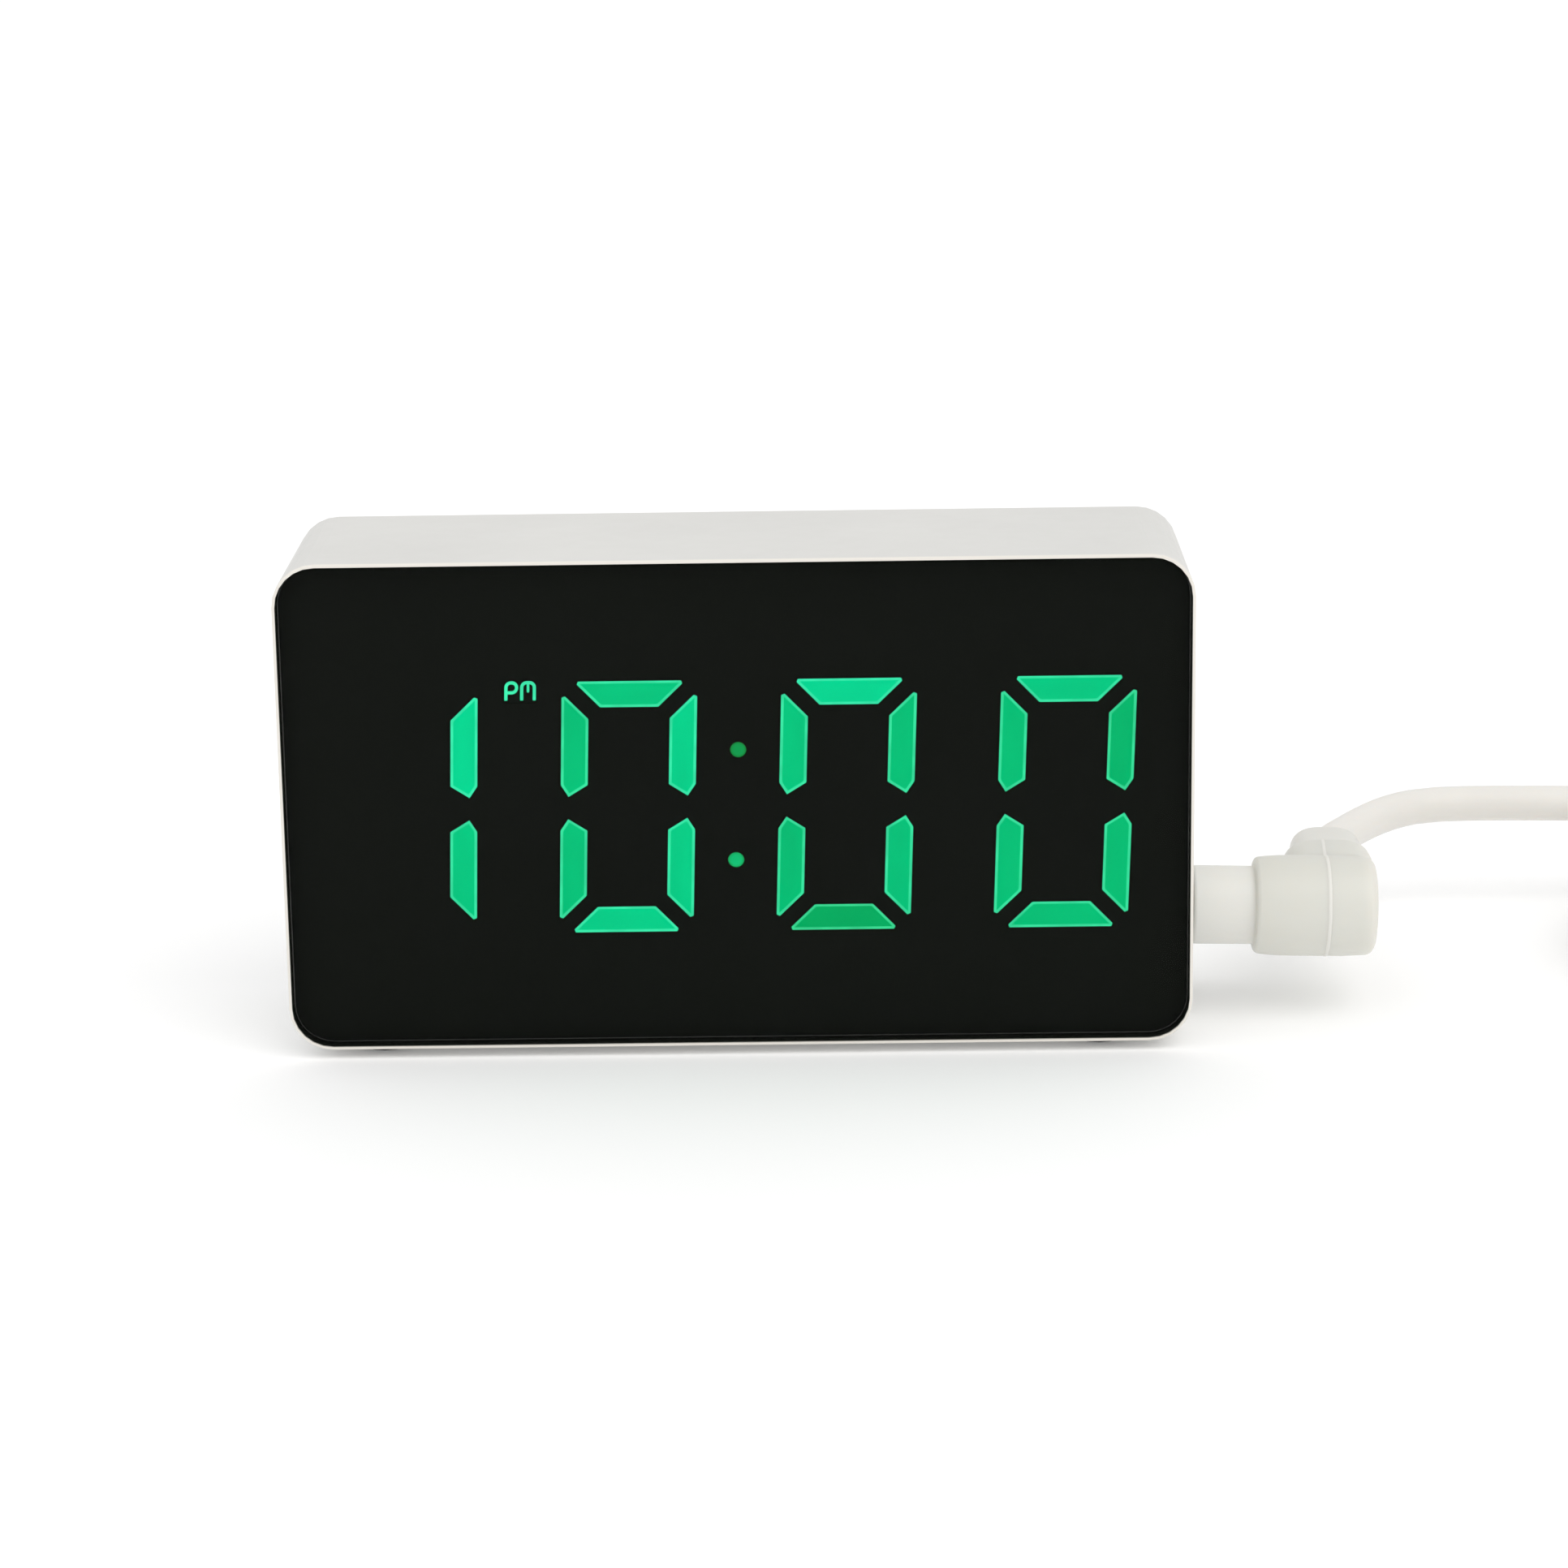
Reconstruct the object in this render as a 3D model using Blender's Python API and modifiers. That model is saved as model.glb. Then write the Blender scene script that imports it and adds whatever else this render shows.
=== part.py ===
"""Small LED mirror alarm clock with its low-voltage power lead.

Units are metres, +Z is up and the clock faces -Y. The origin is the bottom centre of the clock
without its lead. Depths are measured backwards from the clock's front face.
"""

import math

import bmesh
import bpy
from mathutils import Matrix, Vector

MM = 0.001

# ---------------------------------------------------------------- driving dimensions

# Black front panel and the white sleeve around it
PANEL_WIDTH = 92.0 * MM
PANEL_HEIGHT = 50.2 * MM
PANEL_RADIUS = 4.0 * MM
LENS_THICKNESS = 1.6 * MM
LENS_CLEARANCE = 0.1 * MM
LIP_WIDTH = 0.3 * MM
LIP_ROUNDING = 0.25 * MM
BODY_DEPTH = 25.0 * MM
WALL = 1.8 * MM
LEDGE_THICKNESS = 1.2 * MM
LEDGE_REACH = 1.5 * MM
GAP = 0.3 * MM

# Rubber feet
FOOT_HEIGHT = 1.0 * MM
FOOT_RADIUS = 3.0 * MM
FOOT_SEAT_DEPTH = 0.6 * MM
FOOT_SPACING_X = 74.0 * MM
FOOT_SPACING_Y = 14.0 * MM

# Seven-segment display
DIGIT_WIDTH = 13.75 * MM
DIGIT_HEIGHT = 26.5 * MM
DIGIT_PITCH = 22.25 * MM
DIGIT_SLANT = math.radians(2.0)
DISPLAY_DROP = 0.45 * MM
SEGMENT_THICKNESS = 2.75 * MM
SEGMENT_SPLIT = 1.65 * MM
SEGMENT_BLUNT = 0.5 * MM
WAIST_TIP = 1.15 * MM
WAIST_TIP_INSET = 0.8 * MM
WAIST_SHOULDER = 2.38 * MM
COLON_RADIUS = 0.82 * MM
COLON_SPACING = 11.6 * MM
COLON_LIFT = 0.12 * MM
PM_WIDTH = 3.9 * MM
PM_HEIGHT = 2.8 * MM
PM_X = -21.8 * MM
PM_RISE = 12.25 * MM
MASK_THICKNESS = 5.0 * MM
GUIDE_CLEARANCE = 0.15 * MM
GUIDE_RECESS = 0.2 * MM
WEB_THICKNESS = 0.8 * MM
WEB_MARGIN = 0.5 * MM
WEB_SETBACK = 0.9 * MM
BOARD_THICKNESS = 1.2 * MM
LED_HEIGHT = 0.8 * MM
LED_LENGTH = 1.6 * MM
LED_WIDTH = 0.8 * MM
PEG_RADIUS = 0.75 * MM
PEG_INSET = 2.2 * MM
PEG_PROUD = 0.2 * MM

# Rear cover, its screws and the battery bay
COVER_THICKNESS = 1.6 * MM
COVER_INSET = 0.3 * MM
BOSS_RADIUS = 1.95 * MM
BOSS_INSET = 2.9 * MM
BOSS_FRONT = 9.0 * MM
POST_RADIUS = 2.4 * MM
POST_HEIGHT = 2.0 * MM
SCREW_HEAD_RADIUS = 1.7 * MM
SCREW_HEAD_HEIGHT = 1.2 * MM
SCREW_RADIUS = 0.95 * MM
SCREW_LENGTH = 8.5 * MM
SCREW_CLEARANCE = 0.2 * MM
HEAD_RECESS = 1.8 * MM
CELL_RADIUS = 5.25 * MM
CELL_LENGTH = 44.5 * MM
CELL_NUB_RADIUS = 1.9 * MM
CELL_NUB_LENGTH = 1.0 * MM
CELL_SPACING = 0.6 * MM
CELL_COUNT = 3
SPRING_SPACE = 4.8 * MM
SPRING_WIRE = 0.3 * MM
SPRING_TURNS = 2.5
CONTACT_THICKNESS = 0.4 * MM
BAY_WALL = 1.2 * MM
BAY_FLOOR = 1.0 * MM
BAY_X = -16.5 * MM
DOOR_SEAT = 0.5 * MM
LATCH_WIDTH = 12.0 * MM
LATCH_REACH = 2.2 * MM
TOE_WIDTH = 5.0 * MM
TOE_REACH = 1.6 * MM
TOE_THICKNESS = 1.0 * MM
TOE_OFFSET = 17.0 * MM
TOE_SWEEP = 1.1 * MM

# Main board and what stands on it
BOARD_LEFT = 11.6 * MM
BOARD_RIGHT = 44.0 * MM
BOARD_HALF_HEIGHT = 22.5 * MM
BOARD_CORNER_X = 38.6 * MM
BOARD_CORNER_Z = 17.9 * MM
BOARD_SCREW_X = 15.0 * MM
BOARD_SCREW_Z = 19.5 * MM
BOARD_POST_RADIUS = 2.3 * MM
BOARD_SCREW_RADIUS = 0.85 * MM
BOARD_SCREW_LENGTH = 4.9 * MM
BOARD_HEAD_RADIUS = 1.8 * MM
SWITCH_SIZE = 6.0 * MM
SWITCH_HEIGHT = 2.0 * MM
PLUNGER_RADIUS = 1.6 * MM
BUTTON_X = 22.0 * MM
BUTTON_PITCH = 9.5 * MM
BUTTON_TOP_RISE = 15.0 * MM
BUTTON_RADIUS = 2.8 * MM
BUTTON_FLANGE_RADIUS = 3.7 * MM
BUTTON_FLANGE = 0.8 * MM
BUTTON_PROUD = 0.8 * MM
BUTTON_NAMES = ("time", "up", "down", "alarm")
BUZZER_RADIUS = 4.5 * MM
BUZZER_X = 34.5 * MM
BUZZER_RISE = 6.0 * MM
SOUND_HOLE_RADIUS = 0.6 * MM
SOUND_RING_RADIUS = 2.6 * MM
CHIP_WIDTH = 7.5 * MM
CHIP_LENGTH = 18.0 * MM
CHIP_HEIGHT = 2.1 * MM
CHIP_X = 21.8 * MM
CHIP_RISE = 3.0 * MM
CRYSTAL_RADIUS = 1.0 * MM
CRYSTAL_LENGTH = 6.0 * MM
CRYSTAL_X = 34.0 * MM
CRYSTAL_RISE = 2.0 * MM
RIBBON_WIDTH = 12.0 * MM
RIBBON_THICKNESS = 0.4 * MM
RIBBON_X = 31.0 * MM
RIBBON_RISE = 18.0 * MM
RIBBON_BULGE = 2.4 * MM

# Power socket, plug and lead
JACK_ROOM = 0.9 * MM
JACK_CLEARANCE = 0.15 * MM
JACK_SIZE = 7.4 * MM
JACK_LENGTH = 11.0 * MM
JACK_BORE_DEPTH = 9.7 * MM
JACK_PIN_RADIUS = 0.8 * MM
PLUG_SLEEVE_RADIUS = 2.75 * MM
PLUG_SLEEVE_BORE = 1.2 * MM
PLUG_SLEEVE_LENGTH = 11.0 * MM
PLUG_SOCKET = 2.0 * MM
NECK_RADIUS = 4.13 * MM
NECK_LENGTH = 7.0 * MM
BARREL_RADIUS = 5.15 * MM
BARREL_LENGTH = 12.85 * MM
BARREL_ROUNDING = 0.9 * MM
BARREL_DOME = 0.5 * MM
LEG_RADIUS = 4.95 * MM
LEG_END_RADIUS = 4.5 * MM
LEG_SWELL = 4.0 * MM
LEG_LENGTH = 14.5 * MM
LEG_INSET = 4.65 * MM
LEG_LEAN = math.radians(3.8)
RELIEF_LENGTH = 5.0 * MM
RELIEF_RADIUS = 3.2 * MM
CORD_RADIUS = 2.0 * MM
COIL_RADIUS = 23.0 * MM
COIL_COLUMNS = 2
COIL_LAYERS = 3
COIL_X = 120.0 * MM
COIL_Y = 15.5 * MM
TIE_THICKNESS = 0.6 * MM
TIE_WIDTH = 4.0 * MM
USB_X = 155.0 * MM
USB_REAR_Y = 20.0 * MM
USB_WIDTH = 13.0 * MM
USB_HEIGHT = 8.0 * MM
USB_LENGTH = 24.0 * MM
USB_NECK = 8.0 * MM
USB_SHELL_WIDTH = 12.0 * MM
USB_SHELL_HEIGHT = 4.5 * MM
USB_SHELL_LENGTH = 12.0 * MM
USB_SHELL_WALL = 0.3 * MM
USB_TONGUE_HEIGHT = 1.8 * MM

# ---------------------------------------------------------------- places that follow

BODY_WIDTH = PANEL_WIDTH + 2 * (LENS_CLEARANCE + LIP_WIDTH)
BODY_HEIGHT = PANEL_HEIGHT + 2 * (LENS_CLEARANCE + LIP_WIDTH)
BODY_RADIUS = PANEL_RADIUS + LENS_CLEARANCE + LIP_WIDTH
CAVITY_WIDTH = BODY_WIDTH - 2 * WALL
CAVITY_HEIGHT = BODY_HEIGHT - 2 * WALL
CAVITY_RADIUS = BODY_RADIUS - WALL
COVER_BACK = BODY_DEPTH - COVER_INSET
COVER_FRONT = COVER_BACK - COVER_THICKNESS
BUTTON_BACK = COVER_BACK + BUTTON_PROUD
FRONT_Y = -max(BODY_DEPTH, BUTTON_BACK) / 2
MIDDLE_Z = FOOT_HEIGHT + BODY_HEIGHT / 2
DISPLAY_Z = MIDDLE_Z - DISPLAY_DROP

MASK_FRONT = LENS_THICKNESS + GAP
MASK_BACK = MASK_FRONT + MASK_THICKNESS
LEDGE_BACK = MASK_FRONT + LEDGE_THICKNESS
GUIDE_FRONT = MASK_FRONT + GUIDE_RECESS
WEB_BACK = MASK_BACK - WEB_SETBACK
WEB_FRONT = WEB_BACK - WEB_THICKNESS
DISPLAY_BOARD_FRONT = MASK_BACK + GAP
DISPLAY_BOARD_BACK = DISPLAY_BOARD_FRONT + BOARD_THICKNESS

CELL_PITCH = 2 * CELL_RADIUS + CELL_SPACING
CELL_BACK = COVER_FRONT - GAP
CELL_DEPTH = CELL_BACK - CELL_RADIUS
BAY_FRONT = CELL_BACK - 2 * CELL_RADIUS - GAP
BAY_LENGTH = CELL_LENGTH + SPRING_SPACE + 2 * (CONTACT_THICKNESS + GAP) + GAP
BAY_HEIGHT = CELL_PITCH * (CELL_COUNT - 1) + 2 * (CELL_RADIUS + GAP) + 0.9 * MM
BAY_LEFT = BAY_X - BAY_LENGTH / 2
BAY_RIGHT = BAY_X + BAY_LENGTH / 2
DOOR_WIDTH = BAY_LENGTH + 2 * DOOR_SEAT
DOOR_HEIGHT = BAY_HEIGHT + 2 * DOOR_SEAT

SCREW_X = CAVITY_WIDTH / 2 - BOSS_INSET
SCREW_Z = CAVITY_HEIGHT / 2 - BOSS_INSET
HEAD_FRONT = COVER_BACK - HEAD_RECESS + GAP

JACK_DEPTH = DISPLAY_BOARD_BACK + JACK_ROOM + JACK_SIZE / 2
JACK_DROP = SCREW_Z - BOSS_RADIUS - JACK_CLEARANCE - JACK_SIZE / 2
JACK_BACK = JACK_DEPTH + JACK_SIZE / 2
MAIN_BOARD_FRONT = JACK_BACK + GAP
MAIN_BOARD_BACK = MAIN_BOARD_FRONT + BOARD_THICKNESS
SWITCH_FRONT = MAIN_BOARD_BACK + GAP
SWITCH_BACK = SWITCH_FRONT + SWITCH_HEIGHT
FLANGE_BACK = COVER_FRONT - GAP
FLANGE_FRONT = FLANGE_BACK - BUTTON_FLANGE

JACK_Z = MIDDLE_Z - JACK_DROP
JACK_Y = FRONT_Y + JACK_DEPTH
SIDE_X = BODY_WIDTH / 2
JACK_FACE_X = SIDE_X - WALL - GAP
NECK_X = SIDE_X + GAP
BARREL_X = NECK_X + NECK_LENGTH
BARREL_END_X = BARREL_X + BARREL_LENGTH
LEG_X = BARREL_END_X - LEG_INSET
COIL_BASE = TIE_THICKNESS + GAP
COIL_HEIGHT = 2 * CORD_RADIUS * COIL_LAYERS
COIL_INNER = COIL_RADIUS - CORD_RADIUS * COIL_COLUMNS
COIL_OUTER = COIL_RADIUS + CORD_RADIUS * COIL_COLUMNS

# Route of the lead between the plug and the coil, and between the coil and the USB plug:
# (x, y, z) of the cord's centreline, chosen by hand
LEAD_ROUTE = [
    (0.0632, 0.0204, 0.0115),
    (0.0636, 0.0228, 0.0115),
    (0.0650, 0.0257, 0.0115),
    (0.0674, 0.0299, 0.0115),
    (0.0699, 0.0338, 0.0115),
    (0.0725, 0.0370, 0.0115),
    (0.0754, 0.0393, 0.0115),
    (0.0783, 0.0403, 0.0115),
    (0.0813, 0.0406, 0.0115),
    (0.0870, 0.0405, 0.0115),
    (0.0936, 0.0403, 0.01145),
    (0.1000, 0.0403, 0.0113),
    (0.1048, 0.0404, 0.0111),
]
TAIL_ROUTE = [
    (0.1352, 0.0405, 0.0069),
    (0.1413, 0.0395, 0.0064),
    (0.1468, 0.0366, 0.0057),
    (0.1512, 0.0321, 0.0049),
    (0.1541, 0.0266, 0.0042),
    (0.1549, 0.0232, 0.0040),
    (0.1550, 0.0204, 0.0040),
]
COLOURS = {
    "white_shell": ((0.76, 0.755, 0.74), 0.42, 0.0),
    "black_panel": ((0.008, 0.009, 0.008), 0.08, 0.0),
    "mask_black": ((0.012, 0.012, 0.012), 0.6, 0.0),
    "light_guide": ((0.01, 0.52, 0.19), 0.4, 0.0),
    "circuit_board": ((0.02, 0.16, 0.06), 0.45, 0.0),
    "chip_black": ((0.02, 0.02, 0.022), 0.5, 0.0),
    "switch_black": ((0.03, 0.03, 0.03), 0.55, 0.0),
    "steel": ((0.62, 0.62, 0.60), 0.3, 1.0),
    "nickel": ((0.70, 0.69, 0.66), 0.22, 1.0),
    "rubber_grey": ((0.18, 0.18, 0.18), 0.8, 0.0),
    "cell_wrap": ((0.10, 0.30, 0.16), 0.35, 0.0),
    "ribbon_grey": ((0.45, 0.46, 0.48), 0.5, 0.0),
    "plug_white": ((0.80, 0.79, 0.76), 0.38, 0.0),
    "cord_white": ((0.84, 0.82, 0.79), 0.4, 0.0),
    "tie_black": ((0.03, 0.03, 0.03), 0.55, 0.0),
}


# ---------------------------------------------------------------- scene and materials


def clear_scene():
    for old in list(bpy.data.objects):
        bpy.data.objects.remove(old, do_unlink=True)


def new_collection(name):
    made = bpy.data.collections.new(name)
    bpy.context.scene.collection.children.link(made)
    return made


def material(name):
    made = bpy.data.materials.get(name)
    if made is None:
        colour, roughness, metallic = COLOURS[name]
        made = bpy.data.materials.new(name)
        made.use_nodes = True
        shader = made.node_tree.nodes["Principled BSDF"]
        shader.inputs["Base Color"].default_value = (*colour, 1.0)
        shader.inputs["Roughness"].default_value = roughness
        shader.inputs["Metallic"].default_value = metallic
        made.diffuse_color = (*colour, 1.0)
    return made


clear_scene()
PARTS = new_collection("alarm_clock")
CUTTERS = new_collection("cutters")


def link_object(name, data, matrix=None):
    made = bpy.data.objects.new(name, data)
    PARTS.objects.link(made)
    if matrix is not None:
        made.matrix_world = matrix
    return made


def as_tool(tool):
    """Hides a shape that only cuts or adds to another."""
    PARTS.objects.unlink(tool)
    CUTTERS.objects.link(tool)
    tool.hide_render = True
    tool.display_type = "WIRE"


def boolean(target, tools, operation):
    for tool in tools:
        modifier = target.modifiers.new(tool.name, "BOOLEAN")
        modifier.operation = operation
        modifier.solver = "EXACT"
        modifier.object = tool
        as_tool(tool)


def cut(target, *tools):
    boolean(target, tools, "DIFFERENCE")


def add(target, *tools):
    boolean(target, tools, "UNION")


def tidy(mesh):
    """Welds points that fall together and joins faces that lie in one plane."""
    work = bmesh.new()
    work.from_mesh(mesh)
    bmesh.ops.remove_doubles(work, verts=work.verts, dist=0.000003)
    bmesh.ops.dissolve_degenerate(work, edges=work.edges, dist=0.000003)
    flat = math.radians(0.2)
    bmesh.ops.dissolve_limit(work, angle_limit=flat, verts=work.verts, edges=work.edges)
    bmesh.ops.triangulate(work, faces=work.faces)
    work.to_mesh(mesh)
    work.free()


def part(made, material_name):
    """Settles a piece's modifiers into its mesh, shades it and gives it its material."""
    if made.type == "MESH":
        bpy.context.view_layer.update()
        evaluated = made.evaluated_get(bpy.context.evaluated_depsgraph_get())
        mesh = bpy.data.meshes.new_from_object(evaluated)
        made.modifiers.clear()
        made.data = mesh
        tidy(mesh)
        mesh.name = made.name
        mesh.materials.clear()
        mesh.shade_smooth()
        mesh.set_sharp_from_angle(angle=math.radians(35))
    made.data.materials.append(material(material_name))
    return made


# ---------------------------------------------------------------- basic shapes


def box(name, low, high):
    low, high = Vector(low), Vector(high)
    size = high - low
    mesh = bpy.data.meshes.new(name)
    work = bmesh.new()
    bmesh.ops.create_cube(work, size=1.0, matrix=Matrix.Diagonal((*size, 1.0)))
    work.to_mesh(mesh)
    work.free()
    return link_object(name, mesh, Matrix.Translation((low + high) / 2))


def along(start, direction):
    """Matrix that puts local +Z along a direction, at a start point."""
    turn = Vector(direction).normalized().to_track_quat("Z", "Y").to_matrix().to_4x4()
    return Matrix.Translation(Vector(start)) @ turn


def rod(name, start, end, radius, sides=20):
    start, end = Vector(start), Vector(end)
    length = (end - start).length
    mesh = bpy.data.meshes.new(name)
    work = bmesh.new()
    bmesh.ops.create_cone(
        work, cap_ends=True, segments=sides, radius1=radius, radius2=radius, depth=length
    )
    work.to_mesh(mesh)
    work.free()
    return link_object(name, mesh, along((start + end) / 2, end - start))


def turned(name, profile, start, direction, steps=32, closed=False):
    """Turns a profile of (radius, height) about a line; it runs down the outer side."""
    mesh = bpy.data.meshes.new(name)
    work = bmesh.new()
    corners = [work.verts.new((radius, 0.0, height)) for radius, height in profile]
    pairs = list(zip(corners, corners[1:]))
    if closed:
        pairs.append((corners[-1], corners[0]))
    for first, second in pairs:
        work.edges.new((first, second))
    work.to_mesh(mesh)
    work.free()
    made = link_object(name, mesh, along(start, direction))
    screw = made.modifiers.new("Screw", "SCREW")
    screw.axis = "Z"
    screw.steps = steps
    screw.render_steps = steps
    screw.use_merge_vertices = True
    screw.merge_threshold = 0.00001
    screw.use_smooth_shade = True
    return made


def rounded_rectangle(width, height, radius, centre=(0.0, 0.0), steps=6):
    """Outline of a rectangle with round corners, counter-clockwise."""
    outline = []
    corners = ((1, 1, 0), (-1, 1, 90), (-1, -1, 180), (1, -1, 270))
    for side_x, side_z, first in corners:
        middle_x = centre[0] + side_x * (width / 2 - radius)
        middle_z = centre[1] + side_z * (height / 2 - radius)
        for step in range(steps + 1):
            angle = math.radians(first + 90 * step / steps)
            outline.append(
                (middle_x + radius * math.cos(angle), middle_z + radius * math.sin(angle))
            )
    return outline


def rectangle(left, right, low, high):
    return [(left, low), (right, low), (right, high), (left, high)]


def circle(centre, radius, sides=20):
    turns = [2 * math.pi * step / sides for step in range(sides)]
    return [
        (centre[0] + radius * math.cos(turn), centre[1] + radius * math.sin(turn))
        for turn in turns
    ]


PLANES = {
    "X": Matrix(((0, 0, 1), (1, 0, 0), (0, 1, 0))).to_4x4(),
    "Y": Matrix(((1, 0, 0), (0, 0, -1), (0, 1, 0))).to_4x4(),
    "Z": Matrix.Identity(4),
}


def extruded(name, outlines, start, end, axis="Y"):
    """Flat outlines, a loop inside another being a hole, made thick from start to end along
    an axis. The outlines are in (x, z) for axis Y, (y, z) for axis X and (x, y) for axis Z."""
    curve = bpy.data.curves.new(name, "CURVE")
    curve.dimensions = "2D"
    curve.fill_mode = "BOTH"
    curve.extrude = abs(end - start) / 2
    for outline in outlines:
        spline = curve.splines.new("POLY")
        spline.points.add(len(outline) - 1)
        for point, (across, up) in zip(spline.points, outline):
            point.co = (across, up, 0.0, 1.0)
        spline.use_cyclic_u = True
    middle = (start + end) / 2
    place = Vector([middle if letter == axis else 0.0 for letter in "XYZ"])
    flat = link_object(name + "_outline", curve, Matrix.Translation(place) @ PLANES[axis])
    bpy.context.view_layer.update()
    evaluated = flat.evaluated_get(bpy.context.evaluated_depsgraph_get())
    mesh = bpy.data.meshes.new_from_object(evaluated)
    work = bmesh.new()
    work.from_mesh(mesh)
    bmesh.ops.remove_doubles(work, verts=work.verts, dist=0.000001)
    work.to_mesh(mesh)
    work.free()
    made = link_object(name, mesh, flat.matrix_world.copy())
    bpy.data.objects.remove(flat, do_unlink=True)
    return made


def round_edges(made, width, segments=2):
    bevel = made.modifiers.new("Bevel", "BEVEL")
    bevel.width = width
    bevel.segments = segments
    bevel.limit_method = "ANGLE"
    bevel.angle_limit = math.radians(50)
    return made


def deep(depth):
    """World Y of a depth behind the clock's front face."""
    return FRONT_Y + depth


def plate(name, outlines, front, back):
    """Flat outlines in (x, z), between two depths."""
    return extruded(name, outlines, deep(front), deep(back))


def corners_of(half_x, half_z):
    return [(x, z) for z in (half_z, -half_z) for x in (-half_x, half_x)]


# ---------------------------------------------------------------- display outlines


def grown(outline, distance):
    """Moves each side of a convex counter-clockwise outline outwards."""
    moved = []
    count = len(outline)
    for index in range(count):
        before, here = Vector(outline[index - 1]), Vector(outline[index])
        after = Vector(outline[(index + 1) % count])
        first, second = (here - before).normalized(), (after - here).normalized()
        normal_1, normal_2 = Vector((first.y, -first.x)), Vector((second.y, -second.x))
        scale = distance / (1 + normal_1.dot(normal_2))
        moved.append(tuple(here + (normal_1 + normal_2) * scale))
    return moved


def blunted(outline, sharp):
    """Cuts the named sharp corners of an outline off square."""
    shaped = []
    count = len(outline)
    for index, point in enumerate(outline):
        here = Vector(point)
        if index not in sharp:
            shaped.append(point)
            continue
        for other in (outline[index - 1], outline[(index + 1) % count]):
            way = (Vector(other) - here).normalized()
            shaped.append(tuple(here + way * SEGMENT_BLUNT))
    return shaped


def segment_outlines():
    """The seven segments about a digit's centre, upright, each counter-clockwise."""
    half_x, half_z, thick = DIGIT_WIDTH / 2, DIGIT_HEIGHT / 2, SEGMENT_THICKNESS
    split = SEGMENT_SPLIT / math.sqrt(2)
    inner_x, inner_z = half_x - thick, half_z - thick
    top = [
        (half_x - split, half_z),
        (-half_x + split, half_z),
        (-half_x + split + thick, inner_z),
        (half_x - split - thick, inner_z),
    ]
    upper_right = [
        (half_x, WAIST_SHOULDER),
        (half_x, half_z - split),
        (inner_x, inner_z - split),
        (inner_x, WAIST_SHOULDER),
        (half_x - WAIST_TIP_INSET, WAIST_TIP),
    ]
    waist_x = inner_x - split + thick / 2
    middle = [
        (waist_x, 0.0),
        (waist_x - thick / 2, thick / 2),
        (-waist_x + thick / 2, thick / 2),
        (-waist_x, 0.0),
        (-waist_x + thick / 2, -thick / 2),
        (waist_x - thick / 2, -thick / 2),
    ]
    top = blunted(top, (0, 1))
    upper_right = blunted(upper_right, (1,))
    upper_left = [(-x, z) for x, z in reversed(upper_right)]
    return {
        "a": top,
        "b": upper_right,
        "c": [(x, -z) for x, z in reversed(upper_right)],
        "d": [(x, -z) for x, z in reversed(top)],
        "e": [(x, -z) for x, z in reversed(upper_left)],
        "f": upper_left,
        "g": middle,
    }


def slanted(outline, centre_x):
    lean = math.tan(DIGIT_SLANT)
    return [(centre_x + x + z * lean, DISPLAY_Z + z) for x, z in outline]


SEGMENTS = segment_outlines()
DIGIT_NAMES = ("hour_tens", "hour_units", "minute_tens", "minute_units")
DIGIT_XS = [(index - 1.5) * DIGIT_PITCH for index in range(len(DIGIT_NAMES))]
COLON_PLACES = [COLON_LIFT + sign * COLON_SPACING / 2 for sign in (1, -1)]


def colon_outline(rise):
    lean = math.tan(DIGIT_SLANT)
    return circle((rise * lean, DISPLAY_Z + rise), COLON_RADIUS, 16)


def pm_outline():
    high = DISPLAY_Z + PM_RISE
    return rectangle(
        PM_X - PM_WIDTH / 2, PM_X + PM_WIDTH / 2, high - PM_HEIGHT / 2, high + PM_HEIGHT / 2
    )


def web_outline(centre_x, centre_z, width, height):
    return rounded_rectangle(width, height, 0.6 * MM, (centre_x, centre_z), steps=3)


def web_outlines():
    """Back plates of the light guides: the four digits, the colon and the PM mark."""
    digit = [
        web_outline(x, DISPLAY_Z, DIGIT_WIDTH + 2 * WEB_MARGIN, DIGIT_HEIGHT + 2 * WEB_MARGIN)
        for x in DIGIT_XS
    ]
    colon = web_outline(
        0.0, DISPLAY_Z, 2 * (COLON_RADIUS + WEB_MARGIN + 0.3 * MM), COLON_SPACING + 4 * MM
    )
    mark = web_outline(PM_X, DISPLAY_Z + PM_RISE, PM_WIDTH + 0.8 * MM, PM_HEIGHT + 0.8 * MM)
    return digit, colon, mark


# ---------------------------------------------------------------- front pieces


def make_lens():
    outline = rounded_rectangle(PANEL_WIDTH, PANEL_HEIGHT, PANEL_RADIUS, (0.0, MIDDLE_Z))
    lens = plate("front_lens", [outline], 0.0, LENS_THICKNESS)
    round_edges(lens, 0.15 * MM, 1)
    part(lens, "black_panel")


def foot_places():
    middle_y = deep(BODY_DEPTH / 2)
    return [
        (x, middle_y + y) for x, y in corners_of(FOOT_SPACING_X / 2, FOOT_SPACING_Y / 2)
    ]


def corner_block(x, z, reach, corner_x, corner_z, radius):
    """Round-cornered block around a screw, running out to the corner of the case."""
    inner_x, inner_z = abs(x) - reach, abs(z) - reach
    middle_x = math.copysign((inner_x + corner_x) / 2, x)
    middle_z = MIDDLE_Z + math.copysign((inner_z + corner_z) / 2, z)
    size_x, size_z = corner_x - inner_x, corner_z - inner_z
    return rounded_rectangle(size_x, size_z, radius, (middle_x, middle_z), 5)


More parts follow.
